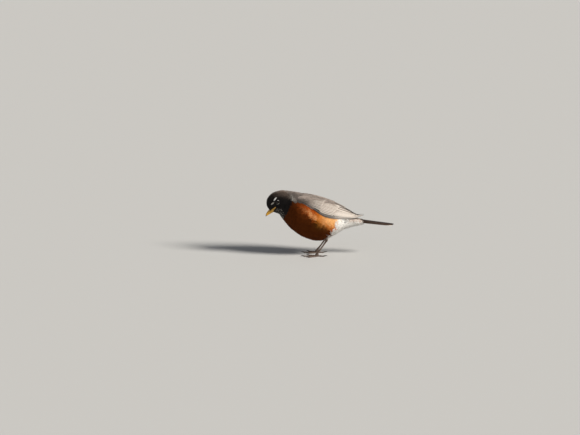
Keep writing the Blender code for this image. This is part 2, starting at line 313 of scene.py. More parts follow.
def skin_material():
    """Skin and down: dull and soft, in the colours of the feathers above."""
    made, tree, shader = new_material("skin_and_down", Roughness=0.85)
    dress(tree, shader, painted(tree), pattern(tree, "Noise", "Fac", {"Scale": 1500.0}), 0.0003, 0.6)
    return made


SIDES = {"left": 1, "right": -1}
SKIN_RINGS, SKIN_AROUND = 150, 96
SKIN_START, SKIN_END = 0.02, 15.3
SHANK_RINGS, SHANK_AROUND = 9, 20
SHANK_PATCH = (11.0, 3.5)  # section and angle, between the two shanks, of their strips of the map
SHANK_TOP, SHANK_FOOT = np.array((14.0, -8.0, 46.0)), np.array((15.0, -4.3, 30.6))
SHANK_RADIUS = (7.4, 4.6, 2.0)
SHANK_CORE = 1.1  # depth of the short feathers on the shank
MAP_SECTIONS = 20.5  # sections that the skin's map spans
MAP_START, MAP_MARGIN = 0.02, 0.01  # its empty borders, along the body and round it


def shank(side):
    """Surface of one feathered shank: share of its length, turn about it, and swell."""

    def surface(u, v, swell):
        u, v, swell = np.broadcast_arrays(u, v, swell)
        top, foot = SHANK_TOP * (side, 1, 1), SHANK_FOOT * (side, 1, 1)
        radius = along(SHANK_RADIUS, u) + swell
        around = np.stack([-side * np.cos(v), np.sin(v), np.zeros_like(v)], axis=-1)
        return top + (foot - top) * u[..., None] + radius[..., None] * around

    return surface


def bake_place(where):
    """Place of a section and angle on the unrolled skin."""
    turn = np.mod(where[..., 1] / (2 * math.pi), 1)
    ahead = MAP_START + where[..., 0] / MAP_SECTIONS
    return np.stack([ahead, MAP_MARGIN + (1 - 2 * MAP_MARGIN) * turn], axis=-1)


def make_skin():
    """The closed skin of the body, with that of both shanks let into its belly."""
    t, angle = np.linspace(SKIN_START, SKIN_END, SKIN_RINGS)[:, None], turns(SKIN_AROUND)
    points, faces = tube(body(t, angle, -read(COAT_DEPTH, t)))
    where = np.column_stack([k.ravel() for k in np.broadcast_arrays(t, angle)])
    where = np.vstack([where, [SKIN_START, 0], [SKIN_END, 0]])
    shapes = [(points, faces, skin_tint(*where.T), bake_place(where))]
    for side in SIDES.values():
        u = np.linspace(0, 1, SHANK_RINGS)[:, None]
        points, faces = tube(shank(side)(u, turns(SHANK_AROUND), -SHANK_CORE))
        where = np.tile((SHANK_PATCH[0], SHANK_PATCH[1] + side), (len(points), 1))
        shapes.append((points, faces, np.tile(VENT_CORE, (len(points), 1)), bake_place(where)))
    points, faces, tint, uv = gather(shapes)
    flesh = ("head", "neck", "trunk", "rump", "thigh_left", "thigh_right")
    make_piece("skin", points, faces, skin_material(), {"OFBake": uv}, tint, "breast_feather", flesh)


make_skin()


# ---------------------------------------------------------------- body feathers
# Contour feathers: small soft vanes that overlap like shingles from the bill to the tail.
# Each grows from the skin, leans back and ends in loose barbs at the coat's surface.
# Nets of points: how many rows along a vane or barb, and their places across it.
VANE_NET = 5, np.array((-1.0, -0.82, -0.45, 0.0, 0.45, 0.82, 1.0))
BARB_NET = 3, np.array((-1.0, 1.0))
BAKE_PATCH = 0.003  # size of a feather's patch on the skin's map
SLOPE_STEP = 0.01  # of a surface's parameters, over which its slopes are measured
ROW_POINTS = 241  # at which a row of roots is measured
STRAY_IN_ROW, STRAY_ACROSS = 0.28, 0.3  # of a root from its place, in pitches
SOFT_CAMBER = 0.1  # how far a soft vane's edges bend down, in half widths
SOLID_SHARE = 0.9  # of a soft feather's length, beyond which it is all loose barbs
BARB_LIFT = 0.06  # of loose barbs above the vane
# Of the clumps and the strands: the shares of the vane at which they start and end, their
# tones, and their widths (of all the clumps, of a strand, and the least).
BARB_STARTS, BARB_ENDS = ((0.4, 0.55), (0.45, 0.8)), ((0.9, 1.08), (1.0, 1.2))
BARB_TONES = (0.92, 1.08), (0.82, 1.22)
CLUMPS_WIDE, STRAND_WIDE, LEAST_WIDE = 1.7, 0.05, 0.07


def slopes(surface, place):
    """How far the surface moves, per unit, along each of its two parameters."""
    u, v, e = place[..., 0], place[..., 1], SLOPE_STEP
    first = surface(u + e, v, 0.0) - surface(u - e, v, 0.0)
    other = surface(u, v + e, 0.0) - surface(u, v - e, 0.0)
    return first / (2 * e), other / (2 * e)


def share_out(vector, first, other):
    """Parameter steps whose move over the surface is nearest to the given vector."""
    ff, fo, oo = (first * first).sum(-1), (first * other).sum(-1), (other * other).sum(-1)
    vf, vo = (vector * first).sum(-1), (vector * other).sum(-1)
    scale = ff * oo - fo * fo
    return np.stack([(vf * oo - vo * fo) / scale, (vo * ff - vf * fo) / scale], axis=-1)


def aim(surface, roots, lie, length):
    """Tips of feathers of a length, which lie turned by an angle from the body's length."""
    first, other = slopes(surface, roots)
    ahead = unit(first)
    across = unit(other - (other * ahead).sum(-1, keepdims=True) * ahead)
    way = ahead * np.cos(lie)[:, None] + across * np.sin(lie)[:, None]
    return roots + share_out(way * length[:, None], first, other)


def on_vane(surface, roots, tips, x, sideways, bend=1.0):
    """Places on a surface a share x along vanes and a distance to one side of their line.

    The line runs from root to tip; its second coordinate goes as x to the power bend.
    """
    run = np.stack(np.broadcast_arrays(x, np.abs(x) ** bend), axis=-1)
    step = (tips - roots)[:, None, None]
    line = roots[:, None, None] + step * run
    first, other = slopes(surface, line)
    ahead = first * step[..., :1] + other * (step[..., 1:] * bend * (np.abs(x) ** (bend - 1))[..., None])
    square = unit(np.cross(np.cross(first, other), ahead))
    return line + share_out(square, first, other) * sideways[..., None]


def shares(net):
    """Shares of the way from root to tip at a net's rows."""
    return np.linspace(0, 1, net[0])[None, :, None]


def lay(
    surface, roots, tips, width, rise, profile, net, blunt=1.0, fringe=0.0, camber=0.0, tilt=0.0, bend=1.0
):
    """Vanes over a surface, with a share x from root to tip and q from edge to edge.

    At x a vane is profile(x) times its width to each side. Its edges end short of its tip,
    by the width times blunt times one less the root of 1 - q squared. It stands off the
    surface by rise, less camber times q squared and tilt times q. Also gives the places in
    the vane, in centimetres, for the map of its barbs.
    """
    x, q, half = shares(net), net[1][None, None, :], width[:, None, None]
    ends = [surface(p[:, 0], p[:, 1], 0.0) for p in (roots, tips)]
    size = np.linalg.norm(ends[1] - ends[0], axis=-1)[:, None, None]
    back = blunt * (half / size) * (1 - np.sqrt(1.0001 - q**2)) * x**2
    ragged = fringe * rng.uniform(-1, 1, (len(roots), 1, q.shape[2])) * x**3
    reach = x * (1 - back) + ragged
    side = np.broadcast_to(q * profile(x) * half, reach.shape)
    place = on_vane(surface, roots, tips, reach, side, bend)
    high = rise - camber * q**2 * profile(x) * half - tilt * q * profile(x)
    points = surface(place[..., 0], place[..., 1], np.broadcast_to(high, reach.shape))
    return points, np.stack([side / 10, reach * size / 10], axis=-1), x, q


def bed(surface, first, last, low, high, pitch):
    """Places of roots in staggered rows about a pitch apart each way over a surface."""
    places, t, odd = [], first, 0.0
    ring = np.linspace(low, high, ROW_POINTS)
    while t < last:
        gap = pitch(t)
        line = surface(np.full(ROW_POINTS, t), ring, 0.0)
        run = np.concatenate([[0], np.cumsum(np.linalg.norm(np.diff(line, axis=0), axis=1))])
        count = max(1, int(run[-1] / gap))
        at = (np.arange(count) + odd + rng.uniform(-STRAY_IN_ROW, STRAY_IN_ROW, count)) * gap
        here = np.column_stack([np.full(count, t), np.interp(at, run, ring)])
        speed = np.linalg.norm(slopes(surface, here)[0], axis=1)
        keep = rng.random(count) < speed / speed.max()
        here[:, 0] += rng.uniform(-STRAY_ACROSS, STRAY_ACROSS, count) * gap / speed
        places.append(here[keep])
        t += gap / speed.max()
        odd = 0.5 - odd
    return np.vstack(places)


def bake_uv(roots, x, q):
    """A small patch for each feather at its root's place on the unrolled skin."""
    patch = np.stack(np.broadcast_arrays((x - 0.5) * BAKE_PATCH, q * BAKE_PATCH / 2), axis=-1)
    return bake_place(roots)[:, None, None] + patch


def vanes(name, laid, bake, tint, stuff, slot, flip=False, replaces=()):
    """One piece from laid vanes, with the map of their barbs and that of their places."""
    points, vane = laid[:2]
    uvs = {"Vane": vane.reshape(-1, 2), "OFBake": np.broadcast_to(bake, vane.shape).reshape(-1, 2)}
    tint = np.broadcast_to(tint, points.shape).reshape(-1, 3)
    faces = grid_faces(*points.shape[:3], flip=flip)
    return make_piece(name, points.reshape(-1, 3), faces, stuff, uvs, tint, slot, replaces)


def spread(tree, value, start, end, low, high):
    """Moves a value's range from start and end to low and high."""
    ends = {"From Min": start, "From Max": end, "To Min": low, "To Max": high}
    return node(tree, "ShaderNodeMapRange", {"Value": value, **ends}).outputs["Result"]


def scaled(tree, tone, amount):
    """A colour made lighter or darker."""
    return node(tree, "ShaderNodeVectorMath", {0: tone, "Scale": amount}, operation="SCALE").outputs[0]


def feather_material(name, rough, sheen, gloss, barb=0.5):
    """Keratin barbs: matt, with fine oblique ridges a barb apart and a soft edge glow.

    The ridges are the sine of the way along the vane less the way across it, in barbs. Real
    barbs are a fifth of a millimetre apart, and these are drawn coarser.
    """
    made, tree, shader = new_material(
        name, Roughness=rough, Sheen_Weight=sheen, Sheen_Roughness=0.5, Specular_IOR_Level=gloss
    )

    def maths(operation, *values):
        return node(tree, "ShaderNodeMath", dict(enumerate(values)), operation=operation).outputs[0]

    vane = node(tree, "ShaderNodeUVMap", uv_map="Vane").outputs["UV"]
    where = node(tree, "ShaderNodeSeparateXYZ", {"Vector": vane}).outputs
    slant = maths("SUBTRACT", where["Y"], maths("ABSOLUTE", where["X"]))
    ridge = maths("SINE", maths("MULTIPLY", slant, 2 * math.pi * 10 / barb))
    mottle = pattern(tree, "Noise", "Fac", {"Scale": 900.0, "Detail": 3.0})
    mottled, ridged = spread(tree, mottle, 0.3, 0.7, 0.9, 1.1), spread(tree, ridge, -1.0, 1.0, 0.93, 1.04)
    shade = maths("MULTIPLY", mottled, ridged)
    dress(tree, shader, scaled(tree, painted(tree), shade), ridge, 0.00005, 0.3)
    return made


COAT_ENDS = (0.08, 14.8)  # first and last section on which feathers grow
# Length, half width and spacing of the feathers at each section.
LENGTH = (2.2, 2.8, 3.4, 4, 5, 6.8, 9, 11, 12.5, 13.5, 14, 14.5, 15, 14.5, 13, 10.5, 9.5, 9, 9, 9)
HALF_WIDTH = (0.7, 0.85, 1, 1.2, 1.6, 2.2, 2.9, 3.5, 3.9, 4.2, 4.3, 4.3, 4.2, 4, 3.9, 3.8, 3.6, 3.4, 3.4, 3.4)
PITCH = (0.85, 1, 1.1, 1.25, 1.5, 1.9, 2.3, 2.6, 2.8, 2.9, 2.9, 2.9, 2.9, 2.9, 2.8, 2.8, 2.8, 2.8, 2.8, 2.8)

# The eye's place on the body's surface, on the left; the right one mirrors its angle.
EYE_SECTION, EYE_ANGLE = 3.43, math.radians(11)
LID_EDGE = 3.8  # no feather comes nearer to the eye's middle than this
EYE_GAP, MOUTH_GAP = 0.3, 0.15  # of the nearest roots from the lids and the mouth's rims

# The line of the mouth on the left cheek, from inside the bill back to its corner, as
# sections and degrees, and the width of the bare rim above and below it.
MOUTH_LINE = ((-0.16, 28), (0.05, 10), (0.5, 1), (1.1, -7), (1.85, -14), (2.65, -16.5))
MOUTH_RIM = (2.2, 2.3, 2.2, 1.95, 1.45, 0.5)

# The folded wing lies over these sections, between these degrees up, and no feather grows
# beneath it.
WING_FROM, WING_TO = 7.3, 16.0
WING_COVERS = (0.08, 0.93)  # shares of its length over which nothing grows beneath it
WING_MARGIN = 3  # degrees by which feathers grow on under its edges
WING_LOW = (41, 39.5, 32.5, 24, 23.5, 27, 35, 47, 60, 74)
WING_HIGH = (62, 69, 74, 78, 82, 85, 86, 87, 87, 84)


def bell(x, middle, width):
    """A smooth hump, 1 at its middle: e to the power of minus the square of the way in widths."""
    return np.exp(-(((x - middle) / width) ** 2))


def mirrored(angle, side):
    """The angle round the body, where side is -1."""
    return angle if side > 0 else math.pi - angle


def eye_points():
    """Middle of each eye's opening on the coat's surface."""
    return np.array([body(EYE_SECTION, mirrored(EYE_ANGLE, side), 0.0) for side in SIDES.values()])


def mouth(side, x):
    """Places on the line of the mouth, a share x of the way from the bill to its corner."""
    line = spline(MOUTH_LINE, x * (len(MOUTH_LINE) - 1))
    return np.stack([line[..., 0], mirrored(np.radians(line[..., 1]), side)], axis=-1)


def off_mouth(points):
    """How far points lie outside the bare rims of the mouth."""
    x = np.linspace(0, 1, 40)
    lines = [body(*mouth(side, x).T, 0.0) for side in SIDES.values()]
    gaps = [np.linalg.norm(points[:, None] - line, axis=-1) - along(MOUTH_RIM, x) for line in lines]
    return np.min(gaps, axis=(0, 2))


def off_eyes(points):
    """How far points lie outside the lids."""
    return np.min(np.linalg.norm(points[:, None] - eye_points(), axis=-1), axis=1) - LID_EDGE


def wander(t, angle):
    """Slow drift over the coat, between -1 and 1, which parts and gathers its feathers."""
    waves = np.sin(2.3 * t + 2 * np.sin(angle)) + np.sin(1.1 * t - 3 * np.cos(angle) + 1.3)
    return (waves + np.sin(3.7 * t + 5 * np.cos(angle - 0.7))) / 3


def lie_of(t, angle):
    """Turn of a feather from the body's length.

    Feathers on the flank sweep up over the edge of the wing, and those at the bill run back
    beside the mouth.
    """
    level = np.sin(angle)
    sweep = bell(t, 10.5, 2.2) * bell(level, -0.1, 0.45)
    line = np.interp(t, *np.transpose(MOUTH_LINE))
    beside = bell(np.degrees(np.arcsin(level)), line, 32) * (1 - fade(t, 1.3, 2.3))
    turned = np.sign(np.cos(angle)) * (math.radians(16) * sweep - math.radians(26) * beside)
    return turned + math.radians(7) * wander(t, angle)


def body_roots():
    """Roots over the whole skin, less those under the wings, on the eyes and on the gape."""
    roots = bed(body, *COAT_ENDS, 0.0, 2 * math.pi, lambda t: float(read(PITCH, t)))
    level = np.degrees(np.arcsin(np.sin(roots[:, 1])))
    share = (roots[:, 0] - WING_FROM) / (WING_TO - WING_FROM)
    low, high = along(WING_LOW, share) + WING_MARGIN, along(WING_HIGH, share) - WING_MARGIN
    under = (share > WING_COVERS[0]) & (share < WING_COVERS[1]) & (level > low) & (level < high)
    roots = roots[~under]
    points = body(*roots.T, 0.0)
    return roots[(off_eyes(points) > EYE_GAP) & (off_mouth(points) > MOUTH_GAP)]


def contour_profile(x):
    """Narrow at the quill, and full width by two fifths of the way out."""
    return 0.3 + 0.7 * np.sqrt(1 - (1 - np.clip(x / 0.45, 0, 1)) ** 2)


def barb_profile(x):
    """A loose barb tapers to its end."""
    return 1 - 0.9 * x**1.5


def head_axes():
    """The turned head's own forward and upward directions."""
    return [turn_head(HEAD_PIVOT + way, np.array(0.0)) - HEAD_PIVOT for way in (FORWARD, UPWARD)]


WHITE_MARK, LORE_MARK = colour("#fbf9f4"), colour("#c8c3b9")
MARKS_REACH = 15  # from the eye's middle


def head_marks(points, tint):
    """White arcs over and under each eye, and a pale line from the eye towards the bill.

    Marks lie in the head's own axes, in millimetres ahead of the eye's middle and above it.
    """
    forward, upward = head_axes()
    for eye in eye_points():
        off = points - eye
        near = np.linalg.norm(off, axis=-1) < MARKS_REACH
        a, h = off @ forward, off @ upward
        # How far inside each mark: an arc that thins to its ends, a crescent, and a long drop.
        over = 1.35 * np.clip(1 - ((a + 1.3) / 3.9) ** 2, 0, 1) ** 0.4 - 0.2
        over = over - np.abs(h - 5.0 + 0.03 * (a + 1.2) ** 2)
        below = np.minimum(0.5 - np.abs(np.hypot(a, h) - 4.7), np.minimum(-1.9 - h, 2.2 - np.abs(a - 1.6)))
        line = 1.1 - 1.1 * np.hypot((a - 7.4) / 3.1, (h - 3.3 - 0.1 * (a - 7.4)) / 1.2)
        # the crescent under the eye is a pale mark dimmed to six tenths as painted shade
        for inside, tone in ((over, WHITE_MARK), (below, LORE_MARK * 0.6), (line, LORE_MARK)):
            tint = blend(tint, tone, near * np.clip(inside / 0.35 + 0.5, 0, 1))
    return tint


# Main, edge and shaft colours of each part, in the order of their numbers.
PART_COLOURS = (
    (HOOD, HOOD_EDGE, HOOD),
    (BACK, BACK_EDGE, BACK_CORE),
    (BREAST, BREAST_EDGE, BREAST_CORE),
    (VENT, VENT_EDGE, VENT_CORE),
)


def shade_of(part, x, q, tips, roots):
    """Feather colour: main, darker shaft, paler edge, and each part's changes, some of them painted light and
    shade.

    The changes go by the section of a feather's tip and by its degrees up from the side.
    """
    main, edge, core = PART_COLOURS[part]
    rim = fade(np.maximum(np.abs(q), x), 0.7, 1.0) * fade(x, 0.3, 0.8)
    shaft = fade(1 - np.abs(q), 0.55, 1.0) * fade(x, 0.2, 0.6)
    rim, shaft = np.broadcast_arrays(rim, shaft)
    tint = main + (edge - main) * rim[..., None] * 0.65 + (core - main) * shaft[..., None] * 0.45
    t, root, angle = tips[:, :1, None], roots[:, :1, None], roots[:, 1:, None]
    level = np.degrees(np.arcsin(np.sin(angle)))
    chance = 0.5 + 0.5 * np.sin(97 * root + 61 * angle)  # its own for each feather
    if part == HOOD_PART:  # greyer over the nape, with streaks of white down the throat
        # the nape's grey is its own colour, and its far paler top line is painted rim light
        nape_grey_and_rim_light = fade(t, 1.8, 5.4) * fade(level, 26, 60) * (0.75 + 1.8 * fade(level, 62, 88))
        tint = blend(tint, NAPE_EDGE, nape_grey_and_rim_light * (0.24 + 0.55 * rim))
        throat = (root < 4.4) & (np.sin(angle) < -0.45) & (chance > 0.45)
        tint = blend(tint, LORE_MARK, 0.8 * throat * shaft)
    if part == BACK_PART:  # dark at the shoulders, pale on the tail coverts, dark under the wing tip
        # darker over the shoulders, partly the mantle's own colour and partly painted shade; spared along the
        # top line as painted light
        dark = 0.58 * (1 - fade(t, 6.6, 9.6)) * (1 - 1.2 * fade(level, 64, 88))
        pale = 1 + 0.6 * fade(t, 12.4, 13.6)
        # painted shadow: a dark band where the back's feathers pass under the wing tip
        tint = tint * ((1 - dark) * pale * (1 - 0.6 * bell(level, 19, 5) * bell(t, 13.6, 0.9)))[..., None]
    if part in (HOOD_PART, BACK_PART):  # a pale fleck where the hood ends over the shoulder
        fleck = bell(t, 6.75 - 0.022 * (level - 42), 0.3) * bell(level, 46, 11)
        tint = blend(tint, LORE_MARK, fleck * (0.2 + 0.5 * rim))
    if part == BREAST_PART:  # deep in front, bright behind the shoulder, pale on the flank
        here = root + (t - root) * x
        # warmer and brighter behind the shoulder: partly the flank's own lighter orange, partly painted light
        tint = blend(tint, BREAST_WARM_AND_LIT, 0.8 * fade(here, 9.3, 10.0) * fade(level, -28, -4))
        # paler on the flank: partly pale feather edges, partly painted light; the streak across it is a
        # painted highlight
        flank = fade(here, 9.8, 10.7) * bell(level, 12, 18) * (0.75 + 0.25 * rim)
        highlight_streak = bell(here, 9.84 - 0.08 * (level - 6), 0.36) * bell(level, 14, 9)
        tint = blend(tint, BREAST_PALE_AND_HIGHLIGHT, np.maximum(flank, 0.85 * highlight_streak))
        # painted shade: ahead of a line that slants back towards the belly, the breast is darkened to a small
        # share of its colours
        full = fade(here + 0.078 * level, 9.15, 9.9) * (0.3 + 0.7 * fade(here, 7.8, 9.4))
        tint = tint * blend(BREAST_PAINTED_SHADE, 1.0, full)
    if part == VENT_PART:  # dark bases on the longest coverts, and grey below the wing
        tint = blend(tint, VENT_CORE, 0.6 * fade(t, 12.8, 15.5) * chance * (1 - rim))
        # darker just below the wing: partly grey feathers, partly painted shadow cast by the wing
        tint = tint * (1 - 0.68 * fade(level, 7, 15) * fade(t, 12.1, 12.9))[..., None]
    return tint


def loose_barbs(surface, feathers, clumps, strands):
    """Clumps and single barbs along the outer half of each vane, which pass its edge.

    Gives their starts and ends on the surface, their half widths, the share of the feather
    and the place across it at which each starts and ends, and how far each strays in tone.
    """
    roots, tips, half, length = feathers
    half, length = half[:, None], length[:, None]
    count = len(roots)

    def draw(clump_range, strand_range):
        """Random values for the clumps and then for the strands."""
        ranges = ((clump_range, clumps), (strand_range, strands))
        return np.concatenate([rng.uniform(*ends, (count, many)) for ends, many in ranges], axis=1)

    even = np.linspace(-0.92, 0.92, clumps) + rng.uniform(-0.07, 0.07, (count, clumps))
    loose = rng.uniform(-0.95, 0.95, (count, strands))
    q1 = np.concatenate([even, loose * 1.12 + rng.normal(0, 0.12, (count, strands))], axis=1)
    q0 = np.concatenate([even * 0.62, loose], axis=1)
    x0 = draw(*BARB_STARTS)
    edge = np.concatenate([even, loose], axis=1)
    x1 = (1 - half / length * (1 - np.sqrt(1 - edge**2))) * draw(*BARB_ENDS)
    thin = np.concatenate([np.full(clumps, CLUMPS_WIDE / clumps), np.full(strands, STRAND_WIDE)]) * half
    stray = draw(*BARB_TONES)
    ends = [
        on_vane(surface, roots, tips, x[..., None], (q * half)[..., None]).reshape(-1, 2)
        for x, q in ((x0, q0), (x1, q1))
    ]
    thin = np.maximum(thin.ravel(), LEAST_WIDE)
    return *ends, thin, *(k.reshape(-1, 1, 1) for k in (x0, q0, x1, q1, stray))


def plumage(names, surface, feathers, rise, tint, skin_place, stuff, slot, barbs, flip=False):
    """Two pieces: solid vanes, and the loose barbs which pass their edges.

    feathers are the roots, tips, half widths and lengths. rise(x, who) is the height of the
    feathers numbered who at a share x of their length, and tint(points, x, q, who) their colour.
    """
    place, end, half, _ = feathers
    who = np.arange(len(place))
    height = rise(shares(VANE_NET), who)
    end = place + (end - place) * SOLID_SHARE
    laid = lay(
        surface, place, end, half, height, contour_profile, VANE_NET, fringe=0.03, camber=SOFT_CAMBER
    )
    points, _, x, q = laid
    vanes(names[0], laid, bake_uv(skin_place, x, q), tint(points, x, q, who), stuff, slot, flip)
    start, stop, thin, x0, q0, x1, q1, stray = loose_barbs(surface, feathers, *barbs)
    who = np.repeat(who, sum(barbs))
    wide = half[who][:, None, None]
    low = rise(x0, who) - SOFT_CAMBER * q0**2 * wide
    high = rise(np.ones_like(x0), who) + rng.uniform(0.0, 0.07, x0.shape) * wide - 0.06 * q1**2 * wide
    height = low + (high - low) * shares(BARB_NET) + BARB_LIFT
    laid = lay(surface, start, stop, thin, height, barb_profile, BARB_NET, blunt=0.0)
    points, vane, x, q = laid
    vane[..., 1] = 0  # no ridges across a barb
    shade = tint(points, x0 + (1 - x0) * x, np.abs(q1) + 0 * q, who) * stray[..., None]
    vanes(names[1], laid, bake_uv(skin_place[who], x0 + (x1 - x0) * x, q1), shade, stuff, slot, flip)


# Pieces of the coat: number of the part, slot, roughness, sheen and gloss, and clumps and
# strands of barbs on each feather.
COATS = {
    "hood": (HOOD_PART, "hood_feather", 0.55, 0.0, 0.16, (8, 8)),
    "mantle": (BACK_PART, "back_feather", 0.7, 0.05, 0.2, (12, 12)),
    "breast": (BREAST_PART, "breast_feather", 0.75, 0.0, 0.07, (12, 14)),
    "vent": (VENT_PART, "vent_feather", 0.75, 0.2, 0.3, (14, 20)),
}


SHORTENINGS, SHORTER, NARROWER = 6, 0.75, 0.88


def body_feathers():
    """The whole coat, dealt out by colour into four pairs of pieces."""
    roots = body_roots()
    t, angle = roots.T
    count = len(roots)
    base = read(COAT_DEPTH, t)
    length = read(LENGTH, t) * rng.uniform(0.8, 1.2, count)
    length *= 1 + 0.35 * fade(t, 12.5, 14.0) * fade(-np.sin(angle), 0.1, 0.6)  # long under the tail
    width = read(HALF_WIDTH, t) * rng.uniform(0.85, 1.15, count)
    lie = lie_of(t, angle) + rng.normal(0, math.radians(8), count)
    crest = rng.uniform(-0.35, 0.1, count) * np.minimum(base, 2.2) * 0.6 + 0.1 * wander(t, angle) * base
    for _ in range(SHORTENINGS):  # feathers ahead of an eye or of the mouth's rim stop short of it
        ends = body(*aim(body, roots, lie, length).T, 0.0)
        over = (off_eyes(ends) < 0.2) | (off_mouth(ends) < 0.0)
        length = np.where(over, length * SHORTER, length)
        width = np.where(over, width * NARROWER, width)
    tips = aim(body, roots, lie, length)
    part = region(t * 0.4 + tips[:, 0] * 0.6, angle, rng.normal(0, 0.45, count))
    tone = rng.uniform(0.88, 1.12, (count, 1, 1, 1))
    for name, (number, slot, rough, sheen, gloss, barbs) in COATS.items():
        own = np.flatnonzero(part == number)

        def rise(x, who):
            k = own[who][:, None, None]
            return crest[k] * x - base[k] * (1 - x**0.8)

        def tint(points, x, q, who):
            k = own[who]
            shade = shade_of(number, x, q, tips[k], roots[k]) * tone[k]
            return head_marks(points, shade) if number == HOOD_PART else shade

        stuff = feather_material(f"{name}_feather", rough, sheen, gloss)
        plumage(
            (f"coat_{name}", f"barbs_{name}"), body, (roots[own], tips[own], width[own], length[own]),
            rise, tint, roots[own], stuff, slot, barbs,
        )


body_feathers()


# ---------------------------------------------------------------- wings
# Folded wings: stiff flight feathers stacked like a closed fan, with rows of coverts over
# their quills. Each vane has a raised shaft, and the innermost feathers lie on top.
# Along the folded wing: its thickness, and how far its lower and upper edges stand off the
# coat. WING_RIM is its thickness at those edges.
WING_THICK = (1.0, 2.4, 3.4, 3.8, 3.6, 3.2, 2.6, 2.0, 1.5, 1.1)
WING_LIFT_LOW = (0.4, 0.4, 0.4, 0.4, 0.5, 0.9, 2.2, 4.4, 6.8, 8.8)
WING_LIFT_HIGH = (0.4, 0.4, 0.4, 0.5, 0.9, 1.6, 2.9, 4.7, 6.9, 8.8)
WING_RIM = 0.5
WING, WING_EDGE, WING_CORE = colour("#9c9085"), colour("#d4cabf"), colour("#62574f")
QUILL, QUILL_EDGE, QUILL_CORE = colour("#8d8177"), colour("#d8cec3"), colour("#4d443d")
DARK, DARK_CORE = colour("#2c2724"), colour("#1b1816")

FLIGHT_NET = 14, np.array((-1.0, -0.84, -0.5, -0.2, -0.06, 0.0, 0.06, 0.2, 0.5, 0.84, 1.0))
VANE_THICKNESS = 0.12

# Groups of feathers on one wing. First line: how many, the first and last root and tip as
# shares of the wing's length and width, first and last half width, height at root and tip as
# shares of the wing's thickness, the power with which they bend, and how pointed they are.
# Second line: main, edge and shaft colours, and how far out the pale edge begins.
WING_GROUPS = {
    "primaries": (
        9, (0.22, 0.05), (0.30, 0.42), (1.0, 0.42), (0.79, 0.66), 2.8, 3.4, 0.0, 0.35, 2.6, 0.5,
        QUILL * 0.5, WING_EDGE * 0.95, QUILL_CORE * 0.6, 0.55,
    ),
    "secondaries": (
        6, (0.30, 0.26), (0.34, 0.56), (0.70, 0.25), (0.80, 0.60), 3.6, 3.6, 0.2, 0.8, 1.3, 0.4,
        QUILL * 0.9, WING_EDGE, QUILL_CORE, 0.5,
    ),
    "tertials": (
        3, (0.30, 0.60), (0.30, 0.88), (0.75, 0.66), (0.58, 0.88), 4.0, 3.8, 0.5, 1.15, 1.0, 0.45,
        # partly painted light: shafts and inner vanes lighter than other quills for the lit top line, and
        # pale edges brightened as painted highlight
        QUILL * 0.8, WING_EDGE * 1.3, QUILL * 0.55, 0.4,
    ),
    "primary_coverts": (
        6, (0.14, 0.05), (0.19, 0.14), (0.46, 0.09), (0.42, 0.17), 1.4, 1.6, 0.3, 0.22, 1.0, 0.3,
        DARK * 1.8, QUILL_EDGE * 0.6, DARK_CORE, 0.7,
    ),
    "alula": (
        3, (0.05, 0.10), (0.10, 0.22), (0.31, 0.10), (0.24, 0.20), 2.0, 2.0, 0.5, 0.8, 1.0, 0.5,
        DARK, QUILL_EDGE, DARK_CORE, 0.75,
    ),
    "greater_coverts": (
        10, (0.20, 0.20), (0.26, 0.92), (0.43, 0.20), (0.49, 0.84), 3.1, 3.6, 0.5, 0.86, 1.0, 0.0,
        QUILL, WING_EDGE, QUILL_CORE, 0.45,
    ),
    "median_coverts": (
        9, (0.13, 0.22), (0.16, 0.96), (0.285, 0.22), (0.33, 0.90), 2.8, 3.2, 0.7, 0.96, 1.0, 0.0,
        WING * 0.85, WING_EDGE * 0.85, WING_CORE, 0.45,
    ),
}
STACK_STEP, STACK_MOST = 0.045, 0.22  # each feather lies this much higher than the last
WING_TILT, PRIMARY_TILT = 0.12, 0.05  # how far a vane leans down to its inner edge
# painted shade at the bend of the wing
BEND_PAINTED_SHADE = 0.36  # brightness of the feathers at the bend of the wing
ROOT_STRAY, TIP_STRAY = 0.003, 0.004  # in shares of the wing's length and width


def on_body(s):
    """Section of the body beside a share of the wing's length."""
    return WING_FROM + (WING_TO - WING_FROM) * s


def wing(side):
    """Surface over one wing: shares of its length, width and thickness, and a further swell."""

    def surface(s, a, height, swell=0.0):
        s, a, height = np.broadcast_arrays(s, a, height)
        low, high = along(WING_LOW, s), along(WING_HIGH, s)
        angle = np.radians(low + (high - low) * a)
        bulge = np.sqrt(np.clip(1 - (2 * a - 1) ** 4, 0, 1))
        room = WING_RIM + (along(WING_THICK, s) - WING_RIM) * bulge
        laid = 1 - fade(a, 0.98, 1.25) * (1 - fade(s, 0.5, 0.7))  # down on the back beyond its edge
        lift = along(WING_LIFT_LOW, s)
        lift = lift + (along(WING_LIFT_HIGH, s) - lift) * fade(a, 0.15, 0.75)
        return body(on_body(s), mirrored(angle, side), (lift + room * height) * laid + swell)

    return surface


def flight_profile(sharp):
    """Width out along a stiff feather: full from a quarter, and drawn in to the tip if sharp."""

    def profile(x):
        base = 0.35 + 0.65 * np.sqrt(1 - (1 - np.clip(x / 0.3, 0, 1)) ** 2)
        return base * (1 - sharp * np.clip((x - 0.45) / 0.55, 0, 1) ** 2)

    return profile


def flight_tint(x, q, main, edge, core, pale_from):
    """Dark shaft, main vane, and an edge that is pale on the outer side and at the tip."""
    rim = np.maximum(fade(-q, pale_from, 0.97), 0.45 * fade(x, 0.93, 1.0)) * fade(x, 0.12, 0.4)
    shaft = fade(1 - np.abs(q), 0.85, 1.0)
    rim, shaft = (k[..., None] for k in np.broadcast_arrays(rim, shaft))
    tint = blend(main, core, fade(q, 0.0, 0.7) * 0.7)
    return tint + (edge - tint) * rim * 0.85 + (core - tint) * shaft * 0.8


def between(first, last, count):
    """Evenly spaced rows from first to last."""
    return np.linspace(first, last, count).reshape(count, -1)


